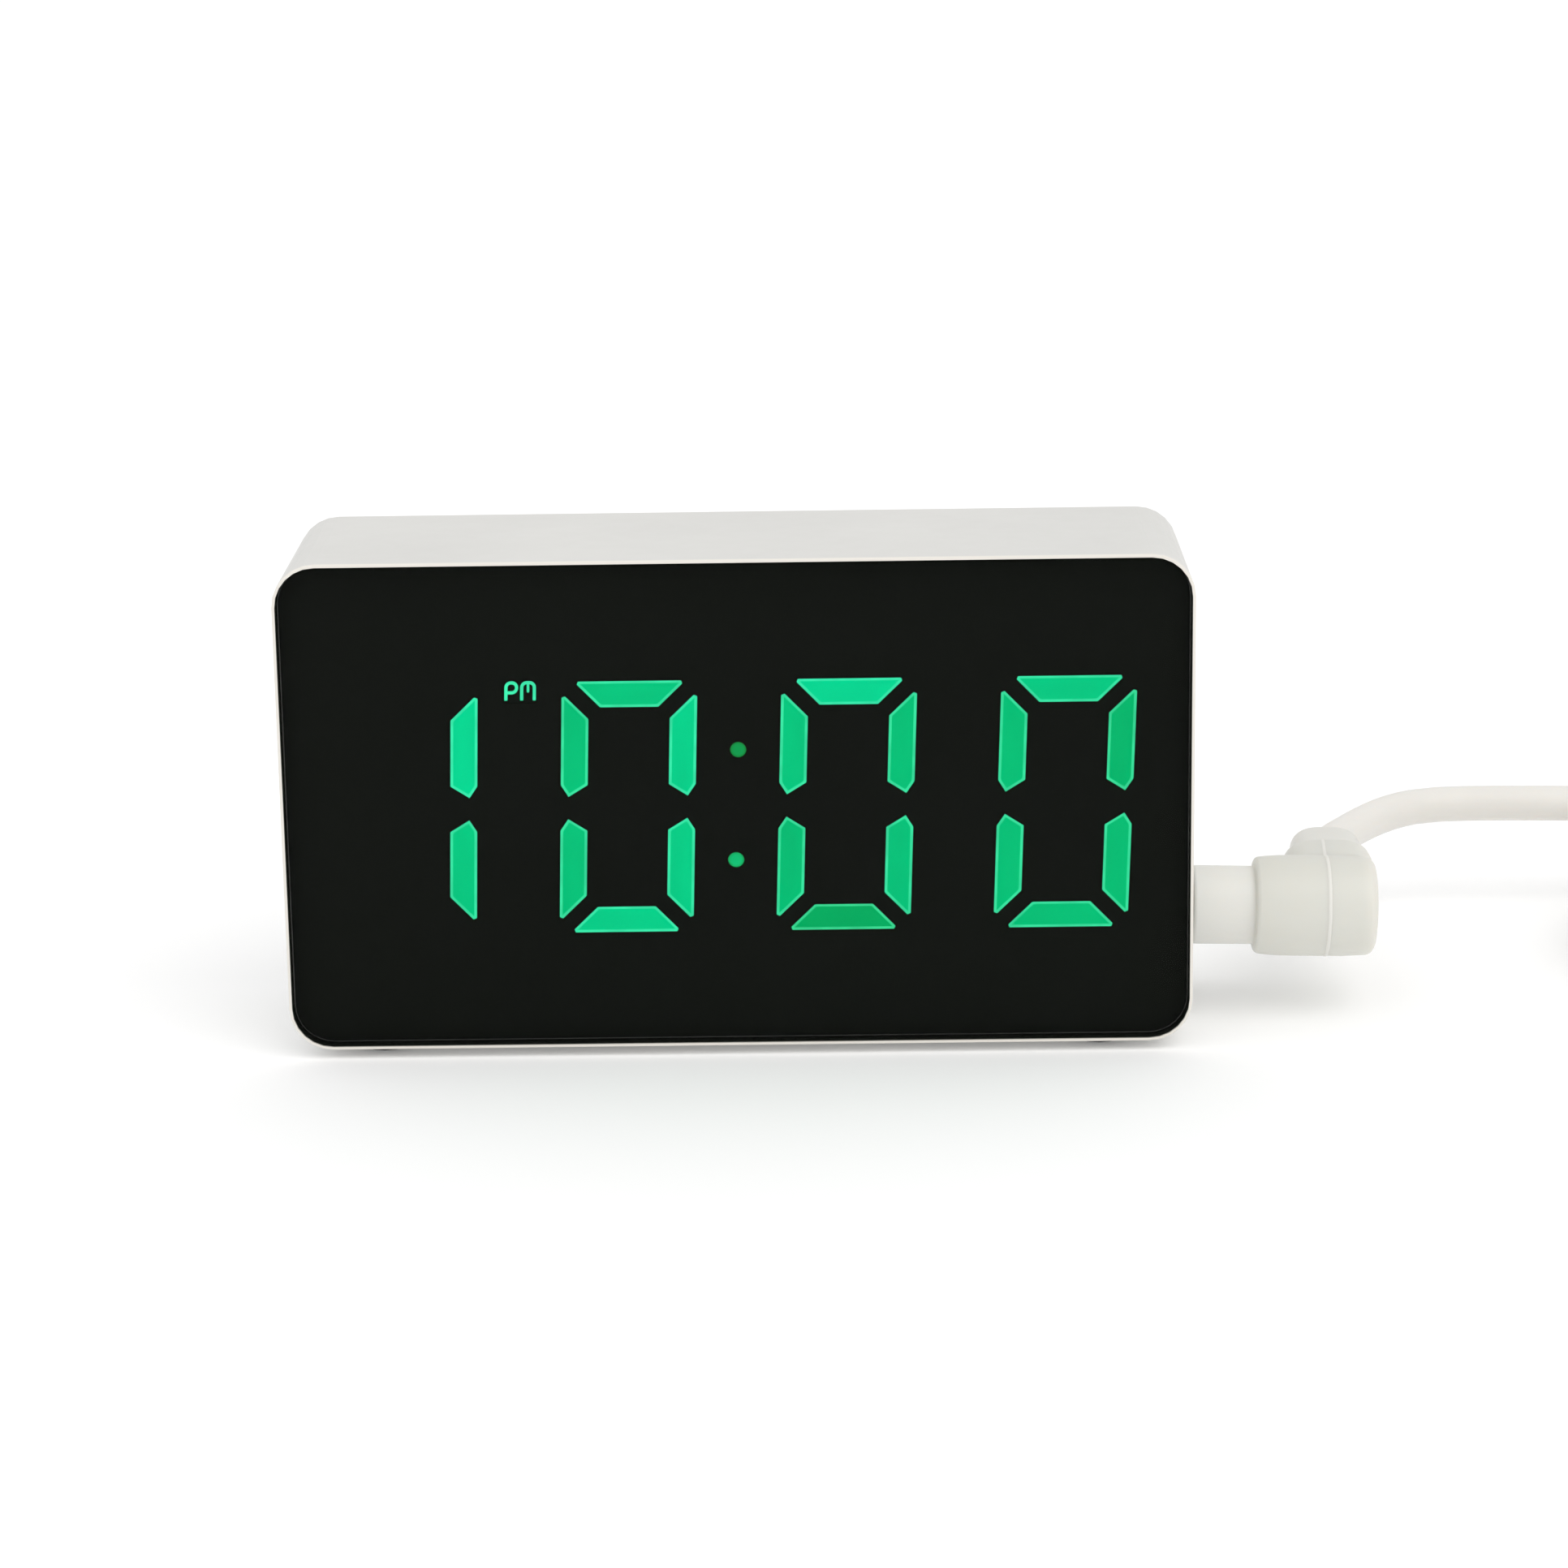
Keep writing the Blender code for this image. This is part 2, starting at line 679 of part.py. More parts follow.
def make_housing():
    middle = (0.0, MIDDLE_Z)
    outer = rounded_rectangle(BODY_WIDTH, BODY_HEIGHT, BODY_RADIUS, middle)
    seat = rounded_rectangle(
        PANEL_WIDTH + 2 * LENS_CLEARANCE,
        PANEL_HEIGHT + 2 * LENS_CLEARANCE,
        PANEL_RADIUS + LENS_CLEARANCE,
        middle,
    )
    window = rounded_rectangle(
        CAVITY_WIDTH - 2 * LEDGE_REACH, CAVITY_HEIGHT - 2 * LEDGE_REACH, 1.5 * MM, middle, 4
    )
    cavity = rounded_rectangle(CAVITY_WIDTH, CAVITY_HEIGHT, CAVITY_RADIUS, middle)
    housing = plate("housing", [outer], 0.0, BODY_DEPTH)
    round_edges(housing, LIP_ROUNDING)
    over = 1.0 * MM
    cut(
        housing,
        plate("cut_lens_seat", [seat], -over, MASK_FRONT),
        plate("cut_window", [window], MASK_FRONT - over, LEDGE_BACK + over),
        plate("cut_cavity", [cavity], LEDGE_BACK, BODY_DEPTH + over),
    )
    boss_back = COVER_FRONT - POST_HEIGHT - GAP
    for index, (x, z) in enumerate(corners_of(SCREW_X, SCREW_Z)):
        corner_x, corner_z = CAVITY_WIDTH / 2 + WALL / 4, CAVITY_HEIGHT / 2 + WALL / 4
        boss = corner_block(x, z, BOSS_RADIUS, corner_x, corner_z, BOSS_RADIUS)
        add(housing, plate(f"add_boss_{index}", [boss], BOSS_FRONT, boss_back))
        hole_foot = (x, deep(HEAD_FRONT - SCREW_LENGTH - 4 * GAP), MIDDLE_Z + z)
        hole_head = (x, deep(boss_back + over), MIDDLE_Z + z)
        bore = SCREW_RADIUS + SCREW_CLEARANCE
        cut(housing, rod(f"cut_boss_{index}", hole_foot, hole_head, bore, 12))
    for index, (x, y) in enumerate(foot_places()):
        low, high = (x, y, FOOT_HEIGHT - over), (x, y, FOOT_HEIGHT + FOOT_SEAT_DEPTH)
        cut(housing, rod(f"cut_foot_{index}", low, high, FOOT_RADIUS + GAP, 16))
    inside = (SIDE_X - WALL - over, JACK_Y, JACK_Z)
    outside = (SIDE_X + over, JACK_Y, JACK_Z)
    cut(housing, rod("cut_jack", inside, outside, PLUG_SLEEVE_RADIUS + 2 * GAP, 24))
    part(housing, "white_shell")


def make_feet():
    top = FOOT_HEIGHT + FOOT_SEAT_DEPTH - GAP
    edge = 0.3 * MM
    profile = [
        (0.0, top),
        (FOOT_RADIUS, top),
        (FOOT_RADIUS, edge),
        (FOOT_RADIUS - edge, 0.0),
        (0.0, 0.0),
    ]
    for index, (x, y) in enumerate(foot_places()):
        foot = turned(f"foot_{index + 1}", profile, (x, y, 0.0), (0, 0, 1), 16)
        part(foot, "rubber_grey")


def peg_places():
    half_x = CAVITY_WIDTH / 2 - LEDGE_REACH - GAP - PEG_INSET
    half_z = CAVITY_HEIGHT / 2 - LEDGE_REACH - GAP - PEG_INSET
    return [(x, MIDDLE_Z + z) for x, z in corners_of(half_x, half_z)]


def make_mask():
    """Black block behind the lens, with a well for each segment."""
    middle = (0.0, MIDDLE_Z)
    block = rounded_rectangle(
        CAVITY_WIDTH - 2 * (LEDGE_REACH + GAP),
        CAVITY_HEIGHT - 2 * (LEDGE_REACH + GAP),
        1.2 * MM,
        middle,
        3,
    )
    flange = rounded_rectangle(
        CAVITY_WIDTH - 2 * GAP, CAVITY_HEIGHT - 2 * GAP, CAVITY_RADIUS - GAP, middle, 4
    )
    mask = plate("display_mask", [block], MASK_FRONT, MASK_BACK)
    add(mask, plate("add_flange", [flange], LEDGE_BACK + GAP, LEDGE_BACK + GAP + 1.2 * MM))
    for index, (x, z) in enumerate(peg_places()):
        front = (x, deep(MASK_BACK - 0.5 * MM), z)
        back = (x, deep(DISPLAY_BOARD_BACK + PEG_PROUD), z)
        add(mask, rod(f"add_peg_{index}", front, back, PEG_RADIUS, 12))
    wells = [
        grown(slanted(outline, x), GUIDE_CLEARANCE)
        for x in DIGIT_XS
        for outline in SEGMENTS.values()
    ]
    wells += [grown(colon_outline(rise), GUIDE_CLEARANCE) for rise in COLON_PLACES]
    wells.append(grown(pm_outline(), GUIDE_CLEARANCE))
    digit_webs, colon_web, mark_web = web_outlines()
    pockets = [
        grown(outline, GUIDE_CLEARANCE) for outline in [*digit_webs, colon_web, mark_web]
    ]
    over = 1.0 * MM
    cut(
        mask,
        plate("cut_wells", wells, MASK_FRONT - over, WEB_FRONT + 0.3 * MM),
        plate("cut_pockets", pockets, WEB_FRONT - GUIDE_CLEARANCE, MASK_BACK + over),
    )
    part(mask, "mask_black")


def make_guide(name, outlines, web):
    """Clear guides of one digit or mark, on the web that holds them together."""
    guide = plate(name, [web], WEB_FRONT, WEB_BACK)
    add(guide, plate("add_" + name, outlines, GUIDE_FRONT, WEB_FRONT + 0.3 * MM))
    part(guide, "light_guide")


def make_guides():
    digit_webs, colon_web, mark_web = web_outlines()
    for name, x, web in zip(DIGIT_NAMES, DIGIT_XS, digit_webs):
        outlines = [slanted(outline, x) for outline in SEGMENTS.values()]
        make_guide(name + "_guide", outlines, web)
    make_guide("colon_guide", [colon_outline(rise) for rise in COLON_PLACES], colon_web)
    make_guide("pm_guide", [pm_outline()], mark_web)


def middle_of(outline):
    count = len(outline)
    return sum(x for x, _ in outline) / count, sum(z for _, z in outline) / count


def make_display_board():
    """Board that carries a light-emitting diode behind each segment."""
    edge = rounded_rectangle(
        CAVITY_WIDTH - 2 * (LEDGE_REACH + 2 * GAP),
        CAVITY_HEIGHT - 2 * (LEDGE_REACH + 2 * GAP),
        1.0 * MM,
        (0.0, MIDDLE_Z),
        3,
    )
    holes = [circle(place, PEG_RADIUS + GAP, 12) for place in peg_places()]
    board = plate("display_board", [edge, *holes], DISPLAY_BOARD_FRONT, DISPLAY_BOARD_BACK)
    lit = [slanted(outline, x) for x in DIGIT_XS for outline in SEGMENTS.values()]
    lit += [colon_outline(rise) for rise in COLON_PLACES] + [pm_outline()]
    diodes = [
        rectangle(x - LED_LENGTH / 2, x + LED_LENGTH / 2, z - LED_WIDTH / 2, z + LED_WIDTH / 2)
        for x, z in (middle_of(outline) for outline in lit)
    ]
    front = DISPLAY_BOARD_FRONT - LED_HEIGHT
    add(board, plate("add_diodes", diodes, front, DISPLAY_BOARD_FRONT + 0.2 * MM))
    part(board, "circuit_board")


# ---------------------------------------------------------------- rear pieces


def button_places():
    return [
        (BUTTON_X, MIDDLE_Z + BUTTON_TOP_RISE - index * BUTTON_PITCH)
        for index in range(len(BUTTON_NAMES))
    ]


def latch_outline(grow):
    half, reach = LATCH_WIDTH / 2 + grow, LATCH_REACH + grow
    edge = MIDDLE_Z + DOOR_HEIGHT / 2
    return [
        (BAY_X - half, edge - 2 * MM),
        (BAY_X + half, edge - 2 * MM),
        (BAY_X + half, edge + reach - 1 * MM),
        (BAY_X + half - 1 * MM, edge + reach),
        (BAY_X - half + 1 * MM, edge + reach),
        (BAY_X - half, edge + reach - 1 * MM),
    ]


def toe_xs():
    return (BAY_X - TOE_OFFSET, BAY_X + TOE_OFFSET)


def make_rear_cover():
    middle = (0.0, MIDDLE_Z)
    edge = rounded_rectangle(
        CAVITY_WIDTH - 2 * GAP, CAVITY_HEIGHT - 2 * GAP, CAVITY_RADIUS - GAP, middle
    )
    holes = [circle(place, BUTTON_RADIUS + GAP, 20) for place in button_places()]
    buzzer = (BUZZER_X, MIDDLE_Z + BUZZER_RISE)
    rings = [buzzer, *circle(buzzer, SOUND_RING_RADIUS, 6)]
    sound = [circle(place, SOUND_HOLE_RADIUS, 8) for place in rings]
    cover = plate("rear_cover", [edge, *holes], COVER_FRONT, COVER_BACK)
    bay = rectangle(
        BAY_LEFT - BAY_WALL,
        BAY_RIGHT + BAY_WALL,
        MIDDLE_Z - BAY_HEIGHT / 2 - BAY_WALL,
        MIDDLE_Z + BAY_HEIGHT / 2 + BAY_WALL,
    )
    inside = 0.3 * MM
    over = 1.0 * MM
    add(cover, plate("add_bay", [bay], BAY_FRONT - BAY_FLOOR, COVER_FRONT + inside))
    for index, (x, z) in enumerate(corners_of(SCREW_X, SCREW_Z)):
        corner_x, corner_z = CAVITY_WIDTH / 2 - 2 * GAP, CAVITY_HEIGHT / 2 - 2 * GAP
        post = corner_block(x, z, POST_RADIUS, corner_x, corner_z, CAVITY_RADIUS - GAP)
        front = COVER_FRONT - POST_HEIGHT
        add(cover, plate(f"add_post_{index}", [post], front, COVER_FRONT + inside))
    for index, sign in enumerate((1, -1)):
        z = MIDDLE_Z + sign * BOARD_SCREW_Z
        front = (BOARD_SCREW_X, deep(MAIN_BOARD_BACK + GAP), z)
        back = (BOARD_SCREW_X, deep(COVER_FRONT + inside), z)
        add(cover, rod(f"add_board_post_{index}", front, back, BOARD_POST_RADIUS, 16))
        hole = (BOARD_SCREW_X, deep(COVER_FRONT - 0.5 * MM), z)
        mouth = (BOARD_SCREW_X, deep(MAIN_BOARD_BACK - over), z)
        bore = BOARD_SCREW_RADIUS + SCREW_CLEARANCE
        cut(cover, rod(f"cut_board_post_{index}", mouth, hole, bore, 12))
    room = rectangle(
        BAY_LEFT, BAY_RIGHT, MIDDLE_Z - BAY_HEIGHT / 2, MIDDLE_Z + BAY_HEIGHT / 2
    )
    door = rectangle(
        BAY_X - DOOR_WIDTH / 2,
        BAY_X + DOOR_WIDTH / 2,
        MIDDLE_Z - DOOR_HEIGHT / 2,
        MIDDLE_Z + DOOR_HEIGHT / 2,
    )
    cut(
        cover,
        plate("cut_sound", sound, COVER_FRONT - over, COVER_BACK + over),
        plate("cut_room", [room], BAY_FRONT, COVER_BACK + over),
        plate("cut_door", [door], COVER_FRONT - GAP, COVER_BACK + over),
        plate("cut_latch", [latch_outline(0.0)], COVER_FRONT - GAP, COVER_BACK + over),
    )
    for index, x in enumerate(toe_xs()):
        edge_z = MIDDLE_Z - DOOR_HEIGHT / 2
        half = TOE_WIDTH / 2 + GAP
        low = (x - half, deep(COVER_FRONT - GAP - TOE_THICKNESS - TOE_SWEEP), edge_z - TOE_REACH)
        high = (x + half, deep(COVER_FRONT - 0.05 * MM), MIDDLE_Z - BAY_HEIGHT / 2 + over)
        cut(cover, box(f"cut_toe_{index}", low, high))
    for index, (x, z) in enumerate(corners_of(SCREW_X, SCREW_Z)):
        floor = (x, deep(COVER_BACK - HEAD_RECESS), MIDDLE_Z + z)
        mouth = (x, deep(COVER_BACK + over), MIDDLE_Z + z)
        front = (x, deep(COVER_FRONT - POST_HEIGHT - over), MIDDLE_Z + z)
        cut(
            cover,
            rod(f"cut_head_{index}", floor, mouth, SCREW_HEAD_RADIUS + GAP, 16),
            rod(f"cut_shank_{index}", front, mouth, SCREW_RADIUS + SCREW_CLEARANCE, 12),
        )
    part(cover, "white_shell")


def make_door():
    """Battery door; it pivots on its lower outer edge, with two toes behind the cover."""
    low_z = MIDDLE_Z - DOOR_HEIGHT / 2 + GAP
    left, right = BAY_X - DOOR_WIDTH / 2 + GAP, BAY_X + DOOR_WIDTH / 2 - GAP
    panel = rectangle(left, right, low_z, MIDDLE_Z + DOOR_HEIGHT / 2 - GAP)
    door = plate("battery_door", [panel], COVER_FRONT, COVER_BACK)
    add(door, plate("add_latch", [latch_outline(-GAP)], COVER_FRONT, COVER_BACK))
    leg = 1.3 * MM
    toe_back = COVER_FRONT - GAP
    for index, x in enumerate(toe_xs()):
        near, far = x - TOE_WIDTH / 2, x + TOE_WIDTH / 2
        step_low = (near, deep(toe_back - TOE_THICKNESS), low_z + 0.1 * MM)
        step_high = (far, deep(COVER_FRONT + 0.3 * MM), low_z + leg)
        toe_low = (near, deep(toe_back - TOE_THICKNESS), low_z - TOE_REACH + GAP)
        toe_high = (far, deep(toe_back), low_z + leg)
        add(door, box(f"add_step_{index}", step_low, step_high))
        add(door, box(f"add_toe_{index}", toe_low, toe_high))
    for index in range(3):
        z = MIDDLE_Z + DOOR_HEIGHT / 2 - (2.2 + 1.4 * index) * MM
        low = (BAY_X - 4.5 * MM, deep(COVER_BACK - 0.3 * MM), z - 0.3 * MM)
        high = (BAY_X + 4.5 * MM, deep(COVER_BACK + 0.3 * MM), z + 0.3 * MM)
        add(door, box(f"add_grip_{index}", low, high))
    hinge = Vector((BAY_X, deep(COVER_BACK), low_z))
    part(door, "white_shell")
    door.data.transform(Matrix.Translation(-hinge) @ door.matrix_world)
    door.matrix_world = Matrix.Translation(hinge)


def screw_solid(name, seat, direction, head, length, radius, material_name):
    """Pan-head screw; seat is the middle of the head's underside, direction leaves the head."""
    head_radius, head_height = head
    profile = [
        (0.0, head_height),
        (head_radius * 0.55, head_height * 0.96),
        (head_radius * 0.9, head_height * 0.7),
        (head_radius, head_height * 0.35),
        (head_radius, 0.0),
        (radius, 0.0),
        (radius, -length + radius),
        (0.0, -length),
    ]
    screw = turned(name, profile, seat, direction, 12)
    slot, deepness = 0.28 * head_radius, 0.45 * head_height
    way = Vector(direction).normalized()
    middle = Vector(seat) + way * head_height
    for index, across in enumerate((Vector((1, 0, 0)), Vector((0, 0, 1)))):
        reach = across * head_radius * 0.62
        width = Vector((0, 0, 1)) if index == 0 else Vector((1, 0, 0))
        spread = reach + width * slot / 2 + Vector((0, deepness, 0))
        cut(screw, box(f"cut_{name}_{index}", middle - spread, middle + spread))
    part(screw, material_name)


def make_case_screws():
    for index, (x, z) in enumerate(corners_of(SCREW_X, SCREW_Z)):
        seat = (x, deep(HEAD_FRONT), MIDDLE_Z + z)
        head = (SCREW_HEAD_RADIUS, SCREW_HEAD_HEIGHT)
        name = f"case_screw_{index + 1}"
        screw_solid(name, seat, (0, 1, 0), head, SCREW_LENGTH, SCREW_RADIUS, "steel")


def make_board_screws():
    for index, sign in enumerate((1, -1)):
        seat = (BOARD_SCREW_X, deep(MAIN_BOARD_FRONT - GAP), MIDDLE_Z + sign * BOARD_SCREW_Z)
        head = (BOARD_HEAD_RADIUS, SCREW_HEAD_HEIGHT)
        name = f"board_screw_{index + 1}"
        screw_solid(
            name, seat, (0, -1, 0), head, BOARD_SCREW_LENGTH, BOARD_SCREW_RADIUS, "steel"
        )


# ---------------------------------------------------------------- batteries


def cell_rows():
    """Height and polarity of each cell, top first; +1 puts the raised end on the right."""
    top = MIDDLE_Z + CELL_PITCH * (CELL_COUNT - 1) / 2
    return [(top - CELL_PITCH * row, 1 if row % 2 == 0 else -1) for row in range(CELL_COUNT)]


CONTACT_LEFT = BAY_LEFT + GAP + CONTACT_THICKNESS
CONTACT_RIGHT = BAY_RIGHT - GAP - CONTACT_THICKNESS


def make_cells():
    edge = 0.5 * MM
    body = CELL_LENGTH - CELL_NUB_LENGTH
    profile = [
        (0.0, CELL_LENGTH),
        (CELL_NUB_RADIUS, CELL_LENGTH),
        (CELL_NUB_RADIUS, body),
        (CELL_RADIUS - edge, body),
        (CELL_RADIUS, body - edge),
        (CELL_RADIUS, edge),
        (CELL_RADIUS - edge, 0.0),
        (0.0, 0.0),
    ]
    for row, (z, side) in enumerate(cell_rows()):
        tip = CONTACT_RIGHT - GAP if side > 0 else CONTACT_LEFT + GAP
        start = (tip - side * CELL_LENGTH, deep(CELL_DEPTH), z)
        cell = turned(f"battery_cell_{row + 1}", profile, start, (side, 0, 0), 20)
        part(cell, "cell_wrap")


def spring(name, face_x, side, z):
    """Tapered coil spring that presses on a cell's flat end; side is the way it points."""
    steps = 8
    root = face_x + side * (SPRING_WIRE - 0.1 * MM)
    length = SPRING_SPACE - GAP - 2 * SPRING_WIRE
    count = round(SPRING_TURNS * steps)
    curve = bpy.data.curves.new(name, "CURVE")
    curve.dimensions = "3D"
    curve.bevel_depth = SPRING_WIRE
    curve.bevel_resolution = 1
    curve.use_fill_caps = True
    spline = curve.splines.new("POLY")
    spline.points.add(count)
    for index in range(count + 1):
        share = index / count
        angle = 2 * math.pi * index / steps
        radius = (3.6 - 1.4 * share) * MM
        y = deep(CELL_DEPTH) + radius * math.cos(angle)
        spline.points[index].co = (root + side * length * share, y, z + radius * math.sin(angle), 1)
    coil = link_object(name + "_wire", curve)
    bpy.context.view_layer.update()
    evaluated = coil.evaluated_get(bpy.context.evaluated_depsgraph_get())
    mesh = bpy.data.meshes.new_from_object(evaluated)
    work = bmesh.new()
    work.from_mesh(mesh)
    bmesh.ops.remove_doubles(work, verts=work.verts, dist=0.000001)
    work.to_mesh(mesh)
    work.free()
    made = link_object(name, mesh, coil.matrix_world.copy())
    bpy.data.objects.remove(coil, do_unlink=True)
    return made


def contact(name, side, rows):
    """Sheet contact at one end of the bay, for one cell or bridging two."""
    cells = cell_rows()
    margin = CELL_PITCH / 2 - 0.6 * MM
    high = cells[rows[0]][0] + margin
    low = cells[rows[-1]][0] - margin
    outer = BAY_LEFT + GAP if side < 0 else BAY_RIGHT - GAP
    inner = CONTACT_LEFT if side < 0 else CONTACT_RIGHT
    half = CELL_RADIUS - 0.6 * MM
    front, back = deep(CELL_DEPTH - half), deep(CELL_DEPTH + half)
    leaf = box(name, (min(outer, inner), front, low), (max(outer, inner), back, high))
    for row in rows:
        z, polarity = cells[row]
        if polarity == -side:
            add(leaf, spring(f"add_{name}_{row}", inner, -side, z))
    part(leaf, "nickel")


def make_contacts():
    contact("contact_left_single", -1, (0,))
    contact("contact_left_bridge", -1, (1, 2))
    contact("contact_right_bridge", 1, (0, 1))
    contact("contact_right_single", 1, (2,))


# ---------------------------------------------------------------- main board


def make_main_board():
    left, right, half = BOARD_LEFT, BOARD_RIGHT, BOARD_HALF_HEIGHT
    corner_x, corner_z = BOARD_CORNER_X, BOARD_CORNER_Z
    outline = [
        (left, -half),
        (corner_x, -half),
        (corner_x, -corner_z),
        (right, -corner_z),
        (right, corner_z),
        (corner_x, corner_z),
        (corner_x, half),
        (left, half),
    ]
    edge = [(x, MIDDLE_Z + z) for x, z in outline]
    holes = [
        circle((BOARD_SCREW_X, MIDDLE_Z + sign * BOARD_SCREW_Z), BOARD_SCREW_RADIUS + GAP, 12)
        for sign in (1, -1)
    ]
    board = plate("main_board", [edge, *holes], MAIN_BOARD_FRONT, MAIN_BOARD_BACK)
    part(board, "circuit_board")


def make_chip():
    """Clock controller in a small-outline package; its leads are part of the solid."""
    back = MAIN_BOARD_FRONT - GAP
    front = back - CHIP_HEIGHT
    z = MIDDLE_Z + CHIP_RISE
    half, long = CHIP_WIDTH / 2, CHIP_LENGTH / 2
    body = rectangle(CHIP_X - half, CHIP_X + half, z - long, z + long)
    chip = plate("controller_chip", [body], front, back - 0.2 * MM)
    pitch, reach, lead = 1.9 * MM, 1.4 * MM, 0.6 * MM
    count = 8
    leads = []
    for index in range(count):
        at = z + (index - (count - 1) / 2) * pitch
        low, high = at - lead / 2, at + lead / 2
        leads.append(rectangle(CHIP_X + half - 0.3 * MM, CHIP_X + half + reach, low, high))
        leads.append(rectangle(CHIP_X - half - reach, CHIP_X - half + 0.3 * MM, low, high))
    add(chip, plate("add_leads", leads, back - 0.6 * MM, back))
    part(chip, "chip_black")


def make_crystal():
    middle = (CRYSTAL_X, deep(MAIN_BOARD_FRONT - GAP - CRYSTAL_RADIUS), MIDDLE_Z + CRYSTAL_RISE)
    half = CRYSTAL_LENGTH / 2
    edge = 0.25 * MM
    profile = [
        (0.0, half),
        (CRYSTAL_RADIUS - edge, half),
        (CRYSTAL_RADIUS, half - edge),
        (CRYSTAL_RADIUS, -half + edge),
        (CRYSTAL_RADIUS - edge, -half),
        (0.0, -half),
    ]
    part(turned("clock_crystal", profile, middle, (1, 0, 0), 12), "nickel")


def make_buzzer():
    """Round sounder with a sound hole in its rear face, behind the holes in the cover."""
    front, back = MAIN_BOARD_BACK + GAP, COVER_FRONT - GAP
    edge, hole, well = 0.3 * MM, 0.9 * MM, 1.2 * MM
    high = back - front
    profile = [
        (0.0, high - well),
        (hole, high - well),
        (hole, high),
        (BUZZER_RADIUS - edge, high),
        (BUZZER_RADIUS, high - edge),
        (BUZZER_RADIUS, 0.0),
        (0.0, 0.0),
    ]
    place = (BUZZER_X, deep(front), MIDDLE_Z + BUZZER_RISE)
    part(turned("buzzer", profile, place, (0, 1, 0), 20), "chip_black")


def make_buttons():
    """For each button: the tact switch on the board, its plunger and the cap in the cover."""
    room = 0.7 * MM
    edge = 0.35 * MM
    plunger_front = SWITCH_BACK - 0.3 * MM
    pocket_floor = plunger_front - room
    for name, (x, z) in zip(BUTTON_NAMES, button_places()):
        half = SWITCH_SIZE / 2
        square = rounded_rectangle(2 * half, 2 * half, 0.5 * MM, (x, z), 2)
        switch = plate(name + "_switch", [square], SWITCH_FRONT, SWITCH_BACK)
        floor, mouth = (x, deep(pocket_floor), z), (x, deep(SWITCH_BACK + 1 * MM), z)
        cut(switch, rod(f"cut_{name}_pocket", floor, mouth, PLUNGER_RADIUS + 0.2 * MM, 12))
        part(switch, "switch_black")
        front = (x, deep(plunger_front), z)
        back = (x, deep(FLANGE_FRONT - GAP), z)
        part(rod(name + "_plunger", front, back, PLUNGER_RADIUS, 12), "rubber_grey")
        high = BUTTON_BACK - FLANGE_FRONT
        profile = [
            (0.0, high),
            (BUTTON_RADIUS - edge, high),
            (BUTTON_RADIUS, high - edge),
            (BUTTON_RADIUS, BUTTON_FLANGE),
            (BUTTON_FLANGE_RADIUS, BUTTON_FLANGE),
            (BUTTON_FLANGE_RADIUS, 0.0),
            (0.0, 0.0),
        ]
        cap = turned(name + "_button", profile, (x, deep(FLANGE_FRONT), z), (0, 1, 0), 20)
        part(cap, "white_shell")


def make_ribbon():
    """Flat cable between the display board and the main board."""
    front, back = DISPLAY_BOARD_BACK + GAP, MAIN_BOARD_FRONT - GAP
    steps = 10
    z0 = MIDDLE_Z + RIBBON_RISE
    centre = []
    for index in range(steps + 1):
        share = index / steps
        rise = RIBBON_BULGE * math.sin(math.pi * share)
        centre.append((deep(front + (back - front) * share), z0 - rise))
    half = RIBBON_THICKNESS / 2
    outline = [(y, z - half) for y, z in centre] + [(y, z + half) for y, z in reversed(centre)]
    left, right = RIBBON_X - RIBBON_WIDTH / 2, RIBBON_X + RIBBON_WIDTH / 2
    part(extruded("ribbon_cable", [outline], left, right, "X"), "ribbon_grey")


# ---------------------------------------------------------------- socket, plug and lead


def make_jack():
    half = JACK_SIZE / 2
    low = (JACK_FACE_X - JACK_LENGTH, JACK_Y - half, JACK_Z - half)
    high = (JACK_FACE_X, JACK_Y + half, JACK_Z + half)
    jack = box("dc_jack", low, high)
    round_edges(jack, 0.4 * MM, 1)
    floor = (JACK_FACE_X - JACK_BORE_DEPTH, JACK_Y, JACK_Z)
    mouth = (JACK_FACE_X + 1 * MM, JACK_Y, JACK_Z)
    cut(jack, rod("cut_jack_bore", floor, mouth, PLUG_SLEEVE_RADIUS + GAP, 20))
    part(jack, "switch_black")
    root = (floor[0] + GAP, JACK_Y, JACK_Z)
    tip = (JACK_FACE_X - 0.9 * MM, JACK_Y, JACK_Z)
    part(rod("dc_jack_pin", root, tip, JACK_PIN_RADIUS, 10), "nickel")


